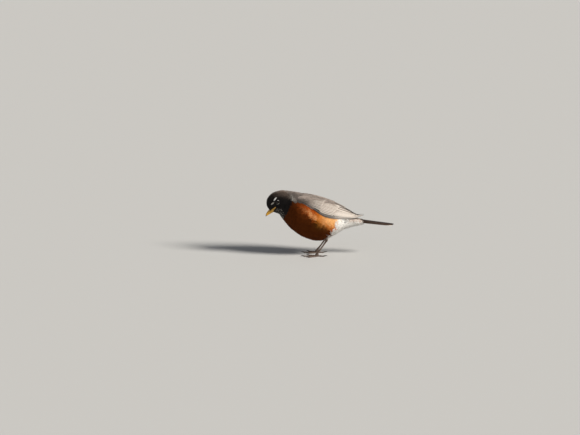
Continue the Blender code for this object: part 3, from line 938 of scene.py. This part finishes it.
def strip_uv(count, x, q):
    """A strip of the map for each long feather, side by side."""
    u = (np.arange(count)[:, None, None] + 0.5 + 0.46 * q) / count
    return np.stack(np.broadcast_arrays(u, 0.01 + 0.98 * x), axis=-1)


def thicken(piece):
    """Gives a sheet of vanes its thickness, inwards from the face."""
    solid = piece.modifiers.new("thickness", "SOLIDIFY")
    solid.thickness, solid.offset = VANE_THICKNESS * MM, -1


def shaft_ridge(height):
    """Height of the raised shaft along the middle of a vane."""
    return height * bell(FLIGHT_NET[1], 0.0, 0.07)


def make_wing(side, side_name):
    """The flight feathers and larger coverts of one wing, a piece for each group."""
    surface = wing(side)
    stuff = feather_material(f"wing_feather_{side_name}", 0.55, 0.05, 0.3, 0.55)
    x = shares(FLIGHT_NET)
    for name, group in WING_GROUPS.items():
        count, root_a, root_b, tip_a, tip_b, wide_a, wide_b, low, top, bend, sharp, *looks = group
        roots = between(root_a, root_b, count) + rng.normal(0, ROOT_STRAY, (count, 2))
        tips = between(tip_a, tip_b, count) + rng.normal(0, TIP_STRAY, (count, 2))
        width = between(wide_a, wide_b, count)[:, 0]
        stack = np.linspace(0, min(STACK_STEP * count, STACK_MOST), count)[:, None, None]
        rise = low + (top - low) * x**0.8 + stack * x + shaft_ridge(0.02)
        tilt = PRIMARY_TILT if name == "primaries" else WING_TILT
        laid = lay(
            surface, roots, tips, width, rise, flight_profile(sharp), FLIGHT_NET,
            blunt=0.9, fringe=0.004, camber=0.003, tilt=tilt, bend=bend,
        )
        q = laid[3]
        tone = rng.uniform(0.92, 1.08, (count, 1, 1))
        # painted shade: the feathers darken towards the bend of the wing
        behind = fade(roots[:, :1, None] + (tips - roots)[:, :1, None] * x, 0.04, 0.34)
        tone = tone * (BEND_PAINTED_SHADE + (1 - BEND_PAINTED_SHADE) * behind)
        if name == "primaries":  # the lowest lie in the dark under the others
            # partly their darker outer webs, partly painted shade where they lie under the others
            tone = tone * np.minimum(0.45 + 0.16 * np.arange(count), 1.0)[:, None, None]
        tint = flight_tint(x, q, *looks) * tone[..., None]
        bake = strip_uv(count, x, q)
        wing_node = (f"wing_{side_name}",) if name == "secondaries" else ()
        piece = f"{name}_{side_name}"
        thicken(vanes(piece, laid, bake, tint, stuff, "flight_feather", side < 0, wing_node))


# Lesser coverts over the bend of the wing, and scapulars from the back over its upper edge:
# first and last section, lower and upper place, spacing, length, half width, height on the
# wing as a share of its thickness, depth of the quills, and lie.
SMALL_TRACTS = {
    "lesser_coverts": (0.0, 0.17, 0.02, 1.0, 2.3, 8.5, 2.5, 0.9, 1.0, 0.0),
    "scapulars": (0.02, 0.36, 0.84, 1.25, 2.8, 14.0, 3.7, 1.1, 1.4, -8.0),
}


def small_coverts(side, side_name):
    """The small soft feathers of one wing: two tracts, each of vanes and loose barbs."""
    for name, tract in SMALL_TRACTS.items():
        start, end, low, high, pitch, long, wide, level, deep, lie = tract

        def surface(s, a, swell):
            return wing(side)(s, a, level, swell)

        roots = bed(surface, start, end, low, high, lambda s: pitch)
        count = len(roots)
        length = long * rng.uniform(0.88, 1.12, count)
        tips = aim(surface, roots, np.radians(rng.normal(lie, 5, count)), length)
        half = wide * rng.uniform(0.9, 1.1, count)
        crest = rng.uniform(0.0, 0.35, count)
        tone = rng.uniform(0.88, 1.12, (count, 1, 1, 1))
        skin_root = np.column_stack([on_body(roots[:, 0]), np.radians(60 + 30 * roots[:, 1] * side)])
        skin_tip = np.column_stack([on_body(tips[:, 0]), tips[:, 1]])
        # painted shade in the hollow at the bend of the wing, under the shoulder's feathers
        dark = 0.6 * fade(0.75 - roots[:, 1], 0.0, 0.6) * (1 - 0.7 * fade(roots[:, 0], 0.06, 0.15))
        dark *= name == "lesser_coverts"

        def rise(x, who):
            return crest[who][:, None, None] * x - deep * (1 - x**0.8)

        def tint(points, x, q, who):
            shade = shade_of(BACK_PART, x, q, skin_tip[who], skin_root[who])
            return shade * (1 - dark[who][:, None, None, None]) * tone[who]

        full_name = f"{name}_{side_name}"
        plumage(
            (full_name, f"barbs_{full_name}"), surface, (roots, tips, half, length), rise, tint,
            skin_root, feather_material(full_name, 0.7, 0.05, 0.2), "back_feather", (10, 10), flip=side < 0,
        )


for side_name, side in SIDES.items():
    make_wing(side, side_name)
    small_coverts(side, side_name)


# ---------------------------------------------------------------- tail
# Twelve blackish tail feathers, closed, with the middle pair on top and each outer pair
# lower and a little shorter. Their quills are hidden under the coverts.
# The middle line's ends (y, z), the half width along it, how far the edges droop, and the
# half width of a feather.
TAIL_ROOT, TAIL_TIP = np.array((54.0, 61.0)), np.array((112.2, 54.5))
TAIL_HALF = (10.8, 12.2, 11.6)
TAIL_ARCH = 0.8
TAIL_PAIRS = 6
# Place across the tail of the middle pair's roots and tips, and the step to the next pair's.
ROOTS_ACROSS, TIPS_ACROSS = (0.05, 0.07), (0.12, 0.092)
OUTER_SHORTER = 0.045  # how much of the tail's length the outermost pair lacks
TAIL_FEATHER_HALF = 5.2
TAIL, TAIL_EDGE, TAIL_CORE = colour("#2a201b"), colour("#57463c"), colour("#17110e")
TAIL_WHITE = colour("#d9d4cb")


def tail(u, v, swell):
    """Surface of the closed tail: share of its length, place across it, and rise."""
    u, v, swell = np.broadcast_arrays(u, v, swell)
    points = np.empty(u.shape + (3,))
    points[..., 0] = v * along(TAIL_HALF, u)
    points[..., 1:] = TAIL_ROOT + (TAIL_TIP - TAIL_ROOT) * u[..., None]
    points[..., 2] += swell - TAIL_ARCH * v**2
    return points


def make_tail():
    """The tail in one piece: k counts the pairs outwards, each with its pale edge outside."""
    k, side, outer = np.repeat(np.arange(TAIL_PAIRS), 2), np.tile((1, -1), TAIL_PAIRS), TAIL_PAIRS - 1
    roots, tips = (side * (first + step * k) for first, step in (ROOTS_ACROSS, TIPS_ACROSS))
    roots = np.column_stack([0 * k, roots])
    tips = np.column_stack([1 - OUTER_SHORTER * (k / outer) ** 1.6, tips])
    x = shares(FLIGHT_NET)
    level = (0.55 - 0.19 * k - 0.04 * (side < 0))[:, None, None]
    rise = level * (4.2 - 3.2 * x**0.7) + shaft_ridge(0.22)
    half = np.full(len(k), TAIL_FEATHER_HALF)
    laid = lay(
        tail, roots, tips, half, rise, flight_profile(0.1), FLIGHT_NET, blunt=0.85, fringe=0.002, camber=0.03
    )
    q = laid[3]
    k, side = k[:, None, None], side[:, None, None]
    rim = fade(np.abs(q), 0.75, 1.0) * (0.35 + 0.65 * (q * side > 0)) * np.ones_like(x)
    shaft = fade(1 - np.abs(q), 0.85, 1.0)
    rim, shaft = (t[..., None] for t in np.broadcast_arrays(rim, shaft))
    tint = TAIL + (TAIL_EDGE - TAIL) * rim + (TAIL_CORE - TAIL) * shaft
    corner = (k == outer) * fade(x, 0.88, 0.93) + (k == outer - 1) * fade(x, 0.94, 0.98)
    tint = blend(tint, TAIL_WHITE, 0.85 * corner)
    stuff = feather_material("tail_feather", 0.5, 0.0, 0.15, 0.6)
    bake = strip_uv(len(k), x, q)
    thicken(vanes("tail_feathers", laid, bake, tint, stuff, "flight_feather", replaces=("tail",)))


make_tail()


# ---------------------------------------------------------------- eyes
# Wet dark balls under a clear bulging cornea, sunk between bare grey lids, with a brown
# iris so dark that it hardly parts from the pupil.
BALL_RADIUS = 4.9
BALL_DEPTH = 3.93  # of its middle below the coat's surface
CORNEA_BULGE, CORNEA_WIDTH = 0.3, 0.5
BALL_RINGS, BALL_AROUND = 36, 48
BALL_FROM, BALL_TO = 0.04, 2.0  # first and last ring, in radians from the tip
IRIS_SCALE = 0.09  # of the iris map, to the millimetre
PUPIL, IRIS, SCLERA = colour("#030303"), colour("#140b06"), colour("#0a0807")
LID = colour("#171311")
# Distances of the lid's surface from the eye's middle and above the coat.
LID_PROFILE = ((3.30, -0.75), (3.42, -0.30), (3.66, -0.12), (3.95, -0.28), (4.5, -0.85), (5.2, -1.7))
LID_RINGS, LID_AROUND = 16, 72
LID_BEADS, BEAD_HEIGHT = 22, 0.05  # tiny scales round the rim
LID_STRETCH = 0.035  # by which the opening is longer than round


def outward(surface, place):
    """Direction straight out of a surface."""
    return unit(np.cross(*slopes(surface, place)))


def eye_frame(side):
    """Place of an eye on the body, and its outward, forward and upward directions."""
    place = np.array((EYE_SECTION, mirrored(EYE_ANGLE, side)))
    forward, upward = head_axes()
    out = outward(body, place)
    ahead = unit(forward - (forward @ out) * out)
    over = np.cross(out, ahead)
    return place, out, ahead, over * np.sign(over @ upward)


def swing(first, other, turn, radius):
    """Steps a radius long, at each turn from the first direction towards the other."""
    return (radius * np.cos(turn))[..., None] * first + (radius * np.sin(turn))[..., None] * other


def eyeball(side):
    """A ball with a low cornea: its radius grows by the bulge times a bell round its tip."""
    place, out, ahead, over = eye_frame(side)
    tip, turn = np.linspace(BALL_FROM, BALL_TO, BALL_RINGS)[:, None], turns(BALL_AROUND)
    radius = BALL_RADIUS + CORNEA_BULGE * bell(tip, 0.0, CORNEA_WIDTH)
    flat = radius * np.sin(tip)
    middle = body(*place, 0.0) + out * (radius * np.cos(tip) - BALL_DEPTH)[..., None]
    points, faces = tube(middle + swing(ahead, over, turn, flat))
    across = np.column_stack([(flat * k).ravel() for k in (np.cos(turn), np.sin(turn))])
    return points, faces, 0.5 + IRIS_SCALE * np.vstack([across, [0, 0], [BALL_RADIUS, 0]])


def ramp(tree, value, stops):
    """A colour for each value, from stops of value and colour, lowest first."""
    made = node(tree, "ShaderNodeValToRGB", {"Fac": value})
    elements = made.color_ramp.elements
    for element, (place, tone) in zip(elements, (stops[0], stops[-1])):
        element.position, element.color = place, (*tone, 1)
    for place, tone in stops[1:-1]:
        elements.new(place).color = (*tone, 1)
    return made.outputs["Color"]


def eye_material():
    """Cornea over iris: mirror smooth and always wet, so it takes one sharp highlight."""
    made, tree, shader = new_material(
        "wet_cornea", Roughness=0.2, Specular_IOR_Level=0.0,
        Coat_Weight=1.0, Coat_Roughness=0.03, Coat_IOR=1.336,
    )
    where = node(tree, "ShaderNodeUVMap", uv_map="Iris").outputs["UV"]
    middle = node(tree, "ShaderNodeVectorMath", {0: where, 1: (0.5, 0.5, 0.0)}, operation="DISTANCE")
    rings = (0, PUPIL), (0.150, PUPIL), (0.158, IRIS), (0.255, IRIS), (0.275, SCLERA), (1, SCLERA)
    tree.links.new(ramp(tree, middle.outputs["Value"], rings), shader.inputs["Base Color"])
    return made


def lid_rim(side):
    """A bare ring round the eye, by the lid's profile, a little longer than it is high."""
    place, _, ahead, over = eye_frame(side)
    turn = turns(LID_AROUND)
    line = spline(LID_PROFILE, np.linspace(0, len(LID_PROFILE) - 1, LID_RINGS))
    radius, rise = line[:, :1], line[:, 1:]
    bead = BEAD_HEIGHT * np.cos(LID_BEADS * turn) * bell(radius, 3.6, 0.3)
    step = swing(ahead, over, turn, radius * (1 + LID_STRETCH * np.cos(2 * turn)))
    at = place + share_out(step, *slopes(body, place))
    points = body(at[..., 0], at[..., 1], rise + bead)
    return points.reshape(-1, 3), grid_faces(1, LID_RINGS, LID_AROUND, closed=True, flip=side < 0)


def lid_material():
    """Bare lid skin: dark, fine-grained and faintly moist."""
    made, tree, shader = new_material("bare_lid_skin", Roughness=0.6, Specular_IOR_Level=0.25)
    grain = pattern(tree, "Voronoi", "Distance", {"Scale": 3500.0})
    dress(tree, shader, ramp(tree, grain, ((0, LID * 0.5), (1, LID * 1.2))), grain, 0.0001, 0.5)
    return made


wet, bare = eye_material(), lid_material()
for side_name, side in SIDES.items():
    points, faces, iris = eyeball(side)
    eye_node = (f"eye_{side_name}",)
    make_piece(f"eyeball_{side_name}", points, faces, wet, {"Iris": iris}, None, "eye", eye_node)
    make_piece(f"lid_{side_name}", *lid_rim(side), bare, slot="hood_feather")


# ---------------------------------------------------------------- bill
# Yellow horn over bone: an upper mandible with a ridged, drooping tip and a slit nostril, a
# shorter lower one, and a soft gape which runs back along the face to below the eye.
BILL_START, BILL_TIP = np.array((-100.9, 79.9)), np.array((-112.6, 69.9))  # (y, z)
BILL_WIDE, BILL_INSIDE = 4.4, -0.22  # half width at the face, and start within it in bill lengths
# Share of the bill's length, height at the face, the power with which it shrinks towards
# the tip, and that of its arch.
UPPER_BILL, LOWER_BILL = (1.0, 4.6, 0.48, 1.7), (0.93, 3.8, 0.58, 2.2)
BILL_RINGS, BILL_AROUND = 34, 40
NOSTRIL_AT, NOSTRIL_TURN, NOSTRIL_DEPTH = 0.24, 0.95, 0.16
RIM_RINGS, RIM_ACROSS = 44, 11
HORN, HORN_RIDGE, HORN_TIP = colour("#dba11c"), colour("#b9822a"), colour("#2e241a")
GAPE, MOUTH = colour("#8f6a30"), colour("#2a1a10")


def mandible(upper):
    """Rings from inside the face to the tip: a ridged arch above or a keel below.

    Its height and width shrink as powers of what is left of its length; the upper one droops
    at the tip, and the lower one ends short of it.
    """
    reach, high, shrink, arched = UPPER_BILL if upper else LOWER_BILL
    u = np.linspace(BILL_INSIDE, 1, BILL_RINGS)[:, None] * reach
    left = np.clip(1 - u / reach, 0, None)
    half = np.linspace(0, math.pi, BILL_AROUND // 2 + 1)[None, :]
    way = BILL_TIP - BILL_START
    square = unit(np.array((way[1], -way[0])))  # towards the culmen
    wide = BILL_WIDE * left**0.8 + 0.16
    tall = high * left**shrink + 0.14
    ridge = 1 - np.abs(np.cos(half)) ** arched
    droop = 0.55 * np.sin(math.pi * np.clip(u, 0, 1)) - upper * 0.7 * fade(u, 0.75, 1.0)
    nostrils = bell(half, NOSTRIL_TURN, 0.15) + bell(half, math.pi - NOSTRIL_TURN, 0.15)
    nostril = upper * bell(u, NOSTRIL_AT, 0.06) * nostrils
    scale = 1 - NOSTRIL_DEPTH * nostril
    up = 1 if upper else -1
    level = droop + 0.08 * up
    arch = np.stack([wide * np.cos(half) * scale, level + up * tall * ridge * scale], axis=-1)
    inner = np.linspace(-0.9, 0.9, BILL_AROUND // 2 - 1)[None, :]
    roof = np.stack([wide * inner, level + 0 * inner], axis=-1)
    ring = np.concatenate([arch, roof], axis=1)
    middle = BILL_START + way * u[..., None] + square * ring[..., 1:]
    points = np.concatenate([ring[..., :1], middle], axis=-1)
    tint = blend(HORN, HORN_RIDGE, upper * 0.75 * bell(half, math.pi / 2, 0.5) + 0 * u)
    tint = blend(tint, HORN_TIP, 0.85 * fade(u, 0.72, 0.98))
    lips = 0.8 * bell(np.sin(half) * wide, 0.0, 0.3)
    tint = blend(tint, MOUTH, np.clip(np.maximum(nostril * 1.3, lips), 0, 1))
    tint = np.concatenate([tint, np.broadcast_to(MOUTH, roof.shape[:-1] + (3,))], axis=1).reshape(-1, 3)
    points, faces = tube(turn_head(points, np.zeros(points.shape[:2])))
    return points, faces, np.vstack([tint, tint[0], HORN_TIP])


def mouth_rim(side, above):
    """The bare rim on one side of the mouth's line, which narrows back to the corner.

    It is proud of the coat at the lips, domed across, and sinks under the feathers outside.
    """
    x, q = np.linspace(0, 1, RIM_RINGS), np.linspace(0, 1, RIM_ACROSS)
    place = mouth(side, x)[:, None]
    first, other = slopes(body, place)
    ahead = np.gradient(body(place[..., 0], place[..., 1], 0.0), axis=0)
    square = unit(np.cross(np.cross(first, other), ahead)) * (side if above else -side)
    wide = along(MOUTH_RIM, x)[:, None] * (1.1 if above else 1.0)
    at = place + share_out(square * (0.05 + wide * q)[..., None], first, other)
    rise = 0.12 + 0.2 * np.sqrt(1 - (1 - np.clip(q / 0.25, 0, 1)) ** 2) - 0.75 * q**4
    rise = rise - (0.9 * (1 - fade(x, 0.0, 0.2)) + 0.7 * fade(x, 0.86, 1.0))[:, None]
    points = body(at[..., 0], at[..., 1], rise)
    tint = blend(HORN, GAPE, fade(x, 0.4, 1.0)[:, None] + 0 * q)
    tint = blend(tint, MOUTH, 0.8 * fade(0.12 - q, 0.0, 0.12))
    faces = grid_faces(1, len(x), len(q), flip=above != (side > 0))
    return points.reshape(-1, 3), faces.tolist(), tint.reshape(-1, 3)


def horn_material():
    """Bill horn: smooth, waxy, a little translucent, with fine wear along its length."""
    made, tree, shader = new_material(
        "bill_horn", Roughness=0.32, IOR=1.54, Coat_Weight=0.2, Coat_Roughness=0.25
    )
    stain = pattern(tree, "Noise", "Fac", {"Scale": 420.0, "Detail": 5.0})
    shade = spread(tree, stain, 0.3, 0.7, 0.78, 1.12)
    dress(tree, shader, scaled(tree, painted(tree), shade), stain, 0.00015, 0.4)
    return made


BRISTLES, BRISTLE_LENGTH, BRISTLE_RADIUS = 5, (2.4, 4.0), 0.08


def bristles(side):
    """Stiff bare shafts above the mouth's line, which curve forward and out beside the bill."""
    shapes = []
    ahead = unit(body(*mouth(side, 0.3), 0.0) - body(*mouth(side, 0.7), 0.0))
    for k in range(BRISTLES):
        place = mouth(side, 0.5 + 0.075 * k) + (0, side * math.radians(15 + 3 * (k % 2)))
        out = outward(body, place)
        across = np.cross(ahead, out) * side
        long = rng.uniform(*BRISTLE_LENGTH)
        x = np.linspace(0, 1, 9)[:, None]
        lean = rng.uniform(-0.15, 0.35)
        line = x * ahead + (0.42 * x - 0.18 * x**2) * out + lean * x**1.5 * across
        middle = body(*place, -0.6) + long * line
        shapes.append(tube(middle[:, None] + swing(out, across, turns(5), BRISTLE_RADIUS * (1 - 0.85 * x))))
    return gather(shapes)


def bristle_material():
    """Bare feather shaft: black keratin, smooth and a little glossy."""
    made, _, _ = new_material(
        "bristle_keratin", Base_Color=(*HOOD, 1), Roughness=0.45, IOR=1.54, Specular_IOR_Level=0.35
    )
    return made


horn = horn_material()
for name, upper in (("upper", True), ("lower", False)):
    points, faces, tint = gather([mandible(upper), mouth_rim(1, upper), mouth_rim(-1, upper)])
    make_piece(f"bill_{name}_horn", points, faces, horn, None, tint, "bill_horn", (f"bill_{name}",))
bristle_keratin = bristle_material()
for side_name, side in SIDES.items():
    make_piece(f"bristles_{side_name}", *bristles(side), bristle_keratin, slot="hood_feather")


# ---------------------------------------------------------------- legs
# Thin brown legs in a horny sheath: a smooth shank with faint plates, four toes with a row
# of scutes above and soft pads below, and curved claws.
# The left foot's middle (x, y), the ankle, and the height at which the shank meets the toes.
FOOT_AT, ANKLE_AT, HUB_HEIGHT = (16.0, -22.5), (15.0, -4.0, 30.0), 4.4
TARSUS_RADIUS = (1.9, 1.3, 1.2, 1.3, 1.8)
TARSUS_PLATES, TARSUS_RINGS = 7, 96
TOE_RADIUS = (1.4, 1.1)
TOE_RINGS = 5  # to the millimetre
SCUTE, PAD_SPACING = 1.25, 4.4  # lengths along a toe
LIMB_AROUND = 24
CLAW_RINGS, CLAW_AROUND, CLAW_BEND = 26, 16, 1.25
# Heading in degrees, and distances out and forward of the foot's middle, length, claw length.
TOES = {
    "inner": (-24, -3.1, 1.8, 13.0, 5.6),
    "middle": (4, 0.0, 2.9, 19.0, 6.4),
    "outer": (33, 3.1, 1.8, 14.6, 5.2),
    "hind": (172, 0.0, -2.9, 9.6, 7.4),
}
# Heights of the foot's pad and its radius at each.
PAD_PROFILE = ((0, 1.6), (0, 2.5), (0.5, 3), (1.3, 3.1), (2.4, 2.9), (3.6, 2.4), (4.8, 1.9), (5.4, 1.2))
PAD_AROUND, PAD_LEAN = 28, 0.072  # it leans back by the square of its height times this
LEG, LEG_PALE, CLAW = colour("#4a3a30"), colour("#8a7260"), colour("#1f1a17")
SHANK = colour("#6b5d50")


def bar(middles, side_way, up_way, wide, high, tint, end):
    """A closed bar: wide and high are distances from its middle line round each ring."""
    points, faces = tube(middles[:, None] + wide[..., None] * side_way + high[..., None] * up_way)
    return points, faces, np.vstack([np.broadcast_to(tint, wide.shape + (3,)).reshape(-1, 3), end, end])


def tarsus(side):
    """The shank from the ankle's knob to the foot, swollen at both ends, plated in front."""
    ankle, hub = np.array(ANKLE_AT) * (side, 1, 1), np.array((FOOT_AT[0] * side, FOOT_AT[1], HUB_HEIGHT))
    way = unit(hub - ankle)
    ankle = ankle + way * 0.4
    x, spin = np.linspace(-0.03, 1.1, TARSUS_RINGS)[:, None], turns(LIMB_AROUND)
    radius = along(TARSUS_RADIUS, np.clip(x, 0, 1)) * (1 - 2.5 * np.clip(x - 1, 0, 1))
    knob = (1 + 0.12 * bell(x, 0.05, 0.05)) * np.sqrt(1.02 - (1 - fade(x, -0.03, 0.05)) ** 2)
    plates = 0.06 * np.abs(np.sin(x * math.pi * TARSUS_PLATES)) ** 0.4
    size = radius * knob + plates * np.clip(np.sin(spin), 0, 1)
    middle = ankle + (hub - ankle) * x
    middle[:, 1:2] += 0.5 * np.sin(math.pi * x)
    front = unit(np.cross(way, (1.0, 0, 0)))
    front *= -np.sign(front[1])
    pale = 0.5 * np.exp(-((x - 0.5) ** 2) / 0.1) * (0.3 + 0.7 * np.clip(-np.sin(spin), 0, 1))
    tint = blend(LEG, LEG_PALE, pale)
    wide, high = size * np.cos(spin) * 0.86, size * np.sin(spin) * 1.08
    return bar(middle, (1.0, 0, 0), front, wide, high, tint, LEG)


def toe_frame(side, spec):
    """Forward and sideways directions of a toe, and its root on the floor."""
    heading, outward_by, forward_by = spec[:3]
    turn = math.radians(heading) * side
    ahead, across = (math.sin(turn), -math.cos(turn), 0), (math.cos(turn), math.sin(turn), 0)
    root = ((FOOT_AT[0] + outward_by) * side, FOOT_AT[1] - forward_by, 0)
    return np.array(ahead), np.array(across), np.array(root)


def toe(side, spec):
    """A toe with scutes over its back, pads under it, and a level sole on the floor."""
    ahead, across, root = toe_frame(side, spec)
    length = spec[3]
    x, spin = np.linspace(-0.12, 1, int(length * TOE_RINGS))[:, None], turns(LIMB_AROUND)
    size = TOE_RADIUS[0] + (TOE_RADIUS[1] - TOE_RADIUS[0]) * x
    pads = 1 + 0.10 * np.cos(x * length / PAD_SPACING * 2 * math.pi)
    scutes = np.abs(np.sin(x * length / SCUTE * math.pi)) ** 0.5
    top = np.clip(np.sin(spin), 0, 1) ** 0.5
    over = size * pads + 0.09 * scutes * top
    end = np.sqrt(np.clip(1 - np.clip((x - 0.93) / 0.09, 0, 1) ** 2, 0.02, 1))
    wide = over * np.cos(spin) * 0.93 * end
    rise = np.maximum(size * 0.72 + over * np.sin(spin) * 0.95 * end, 0.0)
    sole = np.clip(-np.sin(spin), 0, 1)
    tint = blend(LEG, LEG_PALE, np.clip(0.55 * (1 - scutes) * top + 0.35 * sole, 0, 1))
    return bar(root + ahead * length * x, across, (0, 0, 1.0), wide, rise, tint, LEG)


def claw(side, spec):
    """A claw that arches over from the toe's end, flattened at the sides, with a sharp tip."""
    ahead, across, root = toe_frame(side, spec)
    length, long = spec[3:]
    x, spin = np.linspace(-0.1, 1, CLAW_RINGS)[:, None], turns(CLAW_AROUND)
    reach = length - 0.3 + long * np.sin(x * CLAW_BEND) / math.sin(CLAW_BEND)
    rise = 1.2 + 1.5 * np.sin(x * 2.4) - 0.95 * x
    middle = root + ahead * reach + (0, 0, 1) * rise
    size = TOE_RADIUS[1] * 0.78 * (1 - np.clip(x, 0, 1)) ** 0.85 + 0.05
    up = unit((0, 0, 1) - ahead * np.gradient(rise, axis=0) / np.gradient(reach, axis=0))
    wide, high = size * np.cos(spin) * 0.72, size * np.sin(spin) * 1.1
    tint = CLAW + (LEG - CLAW) * fade(0.35 - x, 0.0, 0.35)[..., None] * 0.6
    return bar(middle, across, up[:, None], wide, high, tint, CLAW)


def pad(side):
    """The cushion under the shank, where the four toes meet."""
    turn = turns(PAD_AROUND)
    rise, radius = np.array(PAD_PROFILE).T[..., None]
    across = FOOT_AT[0] * side + radius * np.cos(turn)
    ahead = FOOT_AT[1] + 1.1 * radius * np.sin(turn) + PAD_LEAN * rise**2
    points, faces = tube(np.stack([across, ahead, rise + 0 * turn], axis=-1))
    return points, faces, np.tile(LEG, (len(points), 1))


def scute_material():
    """Horny leg sheath: brown, satin, finely cracked where it flexes."""
    made, tree, shader = new_material("leg_scale", Roughness=0.6, IOR=1.54, Specular_IOR_Level=0.35)
    cells = pattern(tree, "Voronoi", "Distance", {"Scale": 1700.0}, feature="DISTANCE_TO_EDGE")
    shade = spread(tree, cells, 0.0, 0.15, 0.6, 1.08)
    dress(tree, shader, scaled(tree, painted(tree), shade), shade, 0.00008, 0.5)
    return made


def claw_material():
    """Claw keratin: near-black, hard and polished by the ground."""
    made, tree, shader = new_material("claw_horn", Roughness=0.42, IOR=1.54, Specular_IOR_Level=0.35)
    grain = pattern(tree, "Noise", "Fac", {"Scale": 1200.0, "Detail": 4.0})
    dress(tree, shader, painted(tree), grain, 0.00008, 0.4)
    return made


SHANK_COAT, SHANK_PITCH = (0.18, 0.93), 1.4  # shares of the shank that feathers cover, and spacing
SHANK_STRIP = (0.6, 0.06)  # size of a shank's strip of the map, in sections and radians


def shank_feathers(side, side_name):
    """Short feathers all round the shank above the ankle, pointing down it."""
    surface = shank(side)
    roots = bed(surface, *SHANK_COAT, 0.0, 2 * math.pi, lambda u: SHANK_PITCH)
    count = len(roots)
    length = (5.2 - 2.6 * roots[:, 0]) * rng.uniform(0.85, 1.15, count)
    tips = aim(surface, roots, np.radians(rng.normal(0, 7, count)), length)
    crest = rng.uniform(-0.2, 0.1, count)
    tone = rng.uniform(0.85, 1.15, (count, 1, 1, 1))
    skin_place = roots * SHANK_STRIP + (SHANK_PATCH[0], SHANK_PATCH[1] + side)

    def rise(x, who):
        return crest[who][:, None, None] * x - SHANK_CORE * (1 - x)

    def tint(points, x, q, who):
        pale = np.broadcast_to(0.15 * fade(x, 0.5, 1.0), points.shape[:-1])
        return blend(SHANK, VENT_EDGE, pale) * tone[who]

    stuff = feather_material(f"shank_feather_{side_name}", 0.75, 0.1, 0.2)
    plumage(
        (f"shank_feathers_{side_name}", f"barbs_shank_{side_name}"), surface,
        (roots, tips, 1.6 - 0.7 * roots[:, 0], length), rise, tint,
        skin_place, stuff, "vent_feather", (6, 8), flip=side > 0,
    )


scutes, claws = scute_material(), claw_material()
for side_name, side in SIDES.items():
    shank_feathers(side, side_name)
    points, faces, tint = gather([tarsus(side), pad(side), *(toe(side, spec) for spec in TOES.values())])
    leg_nodes = (f"tarsus_{side_name}", f"foot_{side_name}", *(f"toe_{side_name}_{name}" for name in TOES))
    make_piece(f"leg_{side_name}", points, faces, scutes, None, tint, "leg_scale", leg_nodes)
    points, faces, tint = gather([claw(side, spec) for spec in TOES.values()])
    claw_nodes = [f"claw_{side_name}_{name}" for name in TOES]
    make_piece(f"claws_{side_name}", points, faces, claws, None, tint, "claw_horn", claw_nodes)


# ---------------------------------------------------------------- stage
# A plain pale floor of matt paint, one soft lamp high behind the bird's tail, a weaker one
# on the camera's side, and a pale sky.
FLOOR_HALF = 14.0
FLOOR_PAINT = colour("#bebdba")
# The sky's colours from the horizon up, by the sine of the height above it.
SKY = ((0.0, (0.54, 0.53, 0.505)), (0.09, (0.39, 0.39, 0.39)), (0.35, (0.15, 0.16, 0.18)))


def make_floor():
    """A wide square of matt paint, at the level of the soles."""
    made, _, _ = new_material(
        "pale_floor_paint", Base_Color=(*FLOOR_PAINT, 1), Roughness=0.9, Specular_IOR_Level=0.2
    )
    corners = [(x * FLOOR_HALF, y * FLOOR_HALF, 0) for x, y in ((-1, -1), (1, -1), (1, 1), (-1, 1))]
    mesh = bpy.data.meshes.new("floor")
    mesh.from_pydata(corners, [], [(0, 1, 2, 3)])
    mesh.materials.append(made)
    floor = bpy.data.objects.new("floor", mesh)
    bpy.context.scene.collection.objects.link(floor)


def soft_lamp(name, place, strength, softness, tone):
    """A broad far lamp which shines from a place towards the bird."""
    light = bpy.data.lights.new(name, "SUN")
    light.energy, light.angle, light.color = strength, math.radians(softness), tone
    lamp = bpy.data.objects.new(name, light)
    x, y, z = place
    lamp.location = place
    lamp.rotation_euler = (math.acos(z / math.hypot(x, y, z)), 0, math.atan2(y, x) + math.pi / 2)
    bpy.context.scene.collection.objects.link(lamp)


def make_sky():
    """A sky that is palest at the horizon."""
    world = bpy.data.worlds.new("sky")
    world.use_nodes = True
    tree = world.node_tree
    direction = node(tree, "ShaderNodeTexCoord").outputs["Generated"]
    height = node(tree, "ShaderNodeSeparateXYZ", {"Vector": direction}).outputs["Z"]
    tree.links.new(ramp(tree, height, SKY), tree.nodes["Background"].inputs["Color"])
    bpy.context.scene.world = world


make_floor()
soft_lamp("key", (1.15, 2.3, 1.6), 5.8, 18, (1.0, 0.965, 0.91))
soft_lamp("fill", (2.2, -1.0, 1.1), 0.2, 50, (0.93, 0.96, 1.0))
make_sky()
bpy.context.scene.view_settings.view_transform = "Standard"

# A long lens a little above the bird, far enough back that the bird is small in its frame.
LENS, SENSOR = 300.0, 36.0
VIEW_WIDTH = 1015.0  # what the frame spans at the bird
CAMERA_RISE = math.radians(11)
AIM = np.array((0.0, -69.1, 66.5))
camera_data = bpy.data.cameras.new("camera")
camera_data.lens, camera_data.sensor_width, camera_data.clip_end = LENS, SENSOR, 100
camera = bpy.data.objects.new("camera", camera_data)
back = np.array((math.cos(CAMERA_RISE), 0, math.sin(CAMERA_RISE)))
camera.location = (AIM + back * VIEW_WIDTH * LENS / SENSOR) * MM
camera.rotation_euler = (math.pi / 2 - CAMERA_RISE, 0, math.pi / 2)
bpy.context.scene.collection.objects.link(camera)
bpy.context.scene.camera = camera
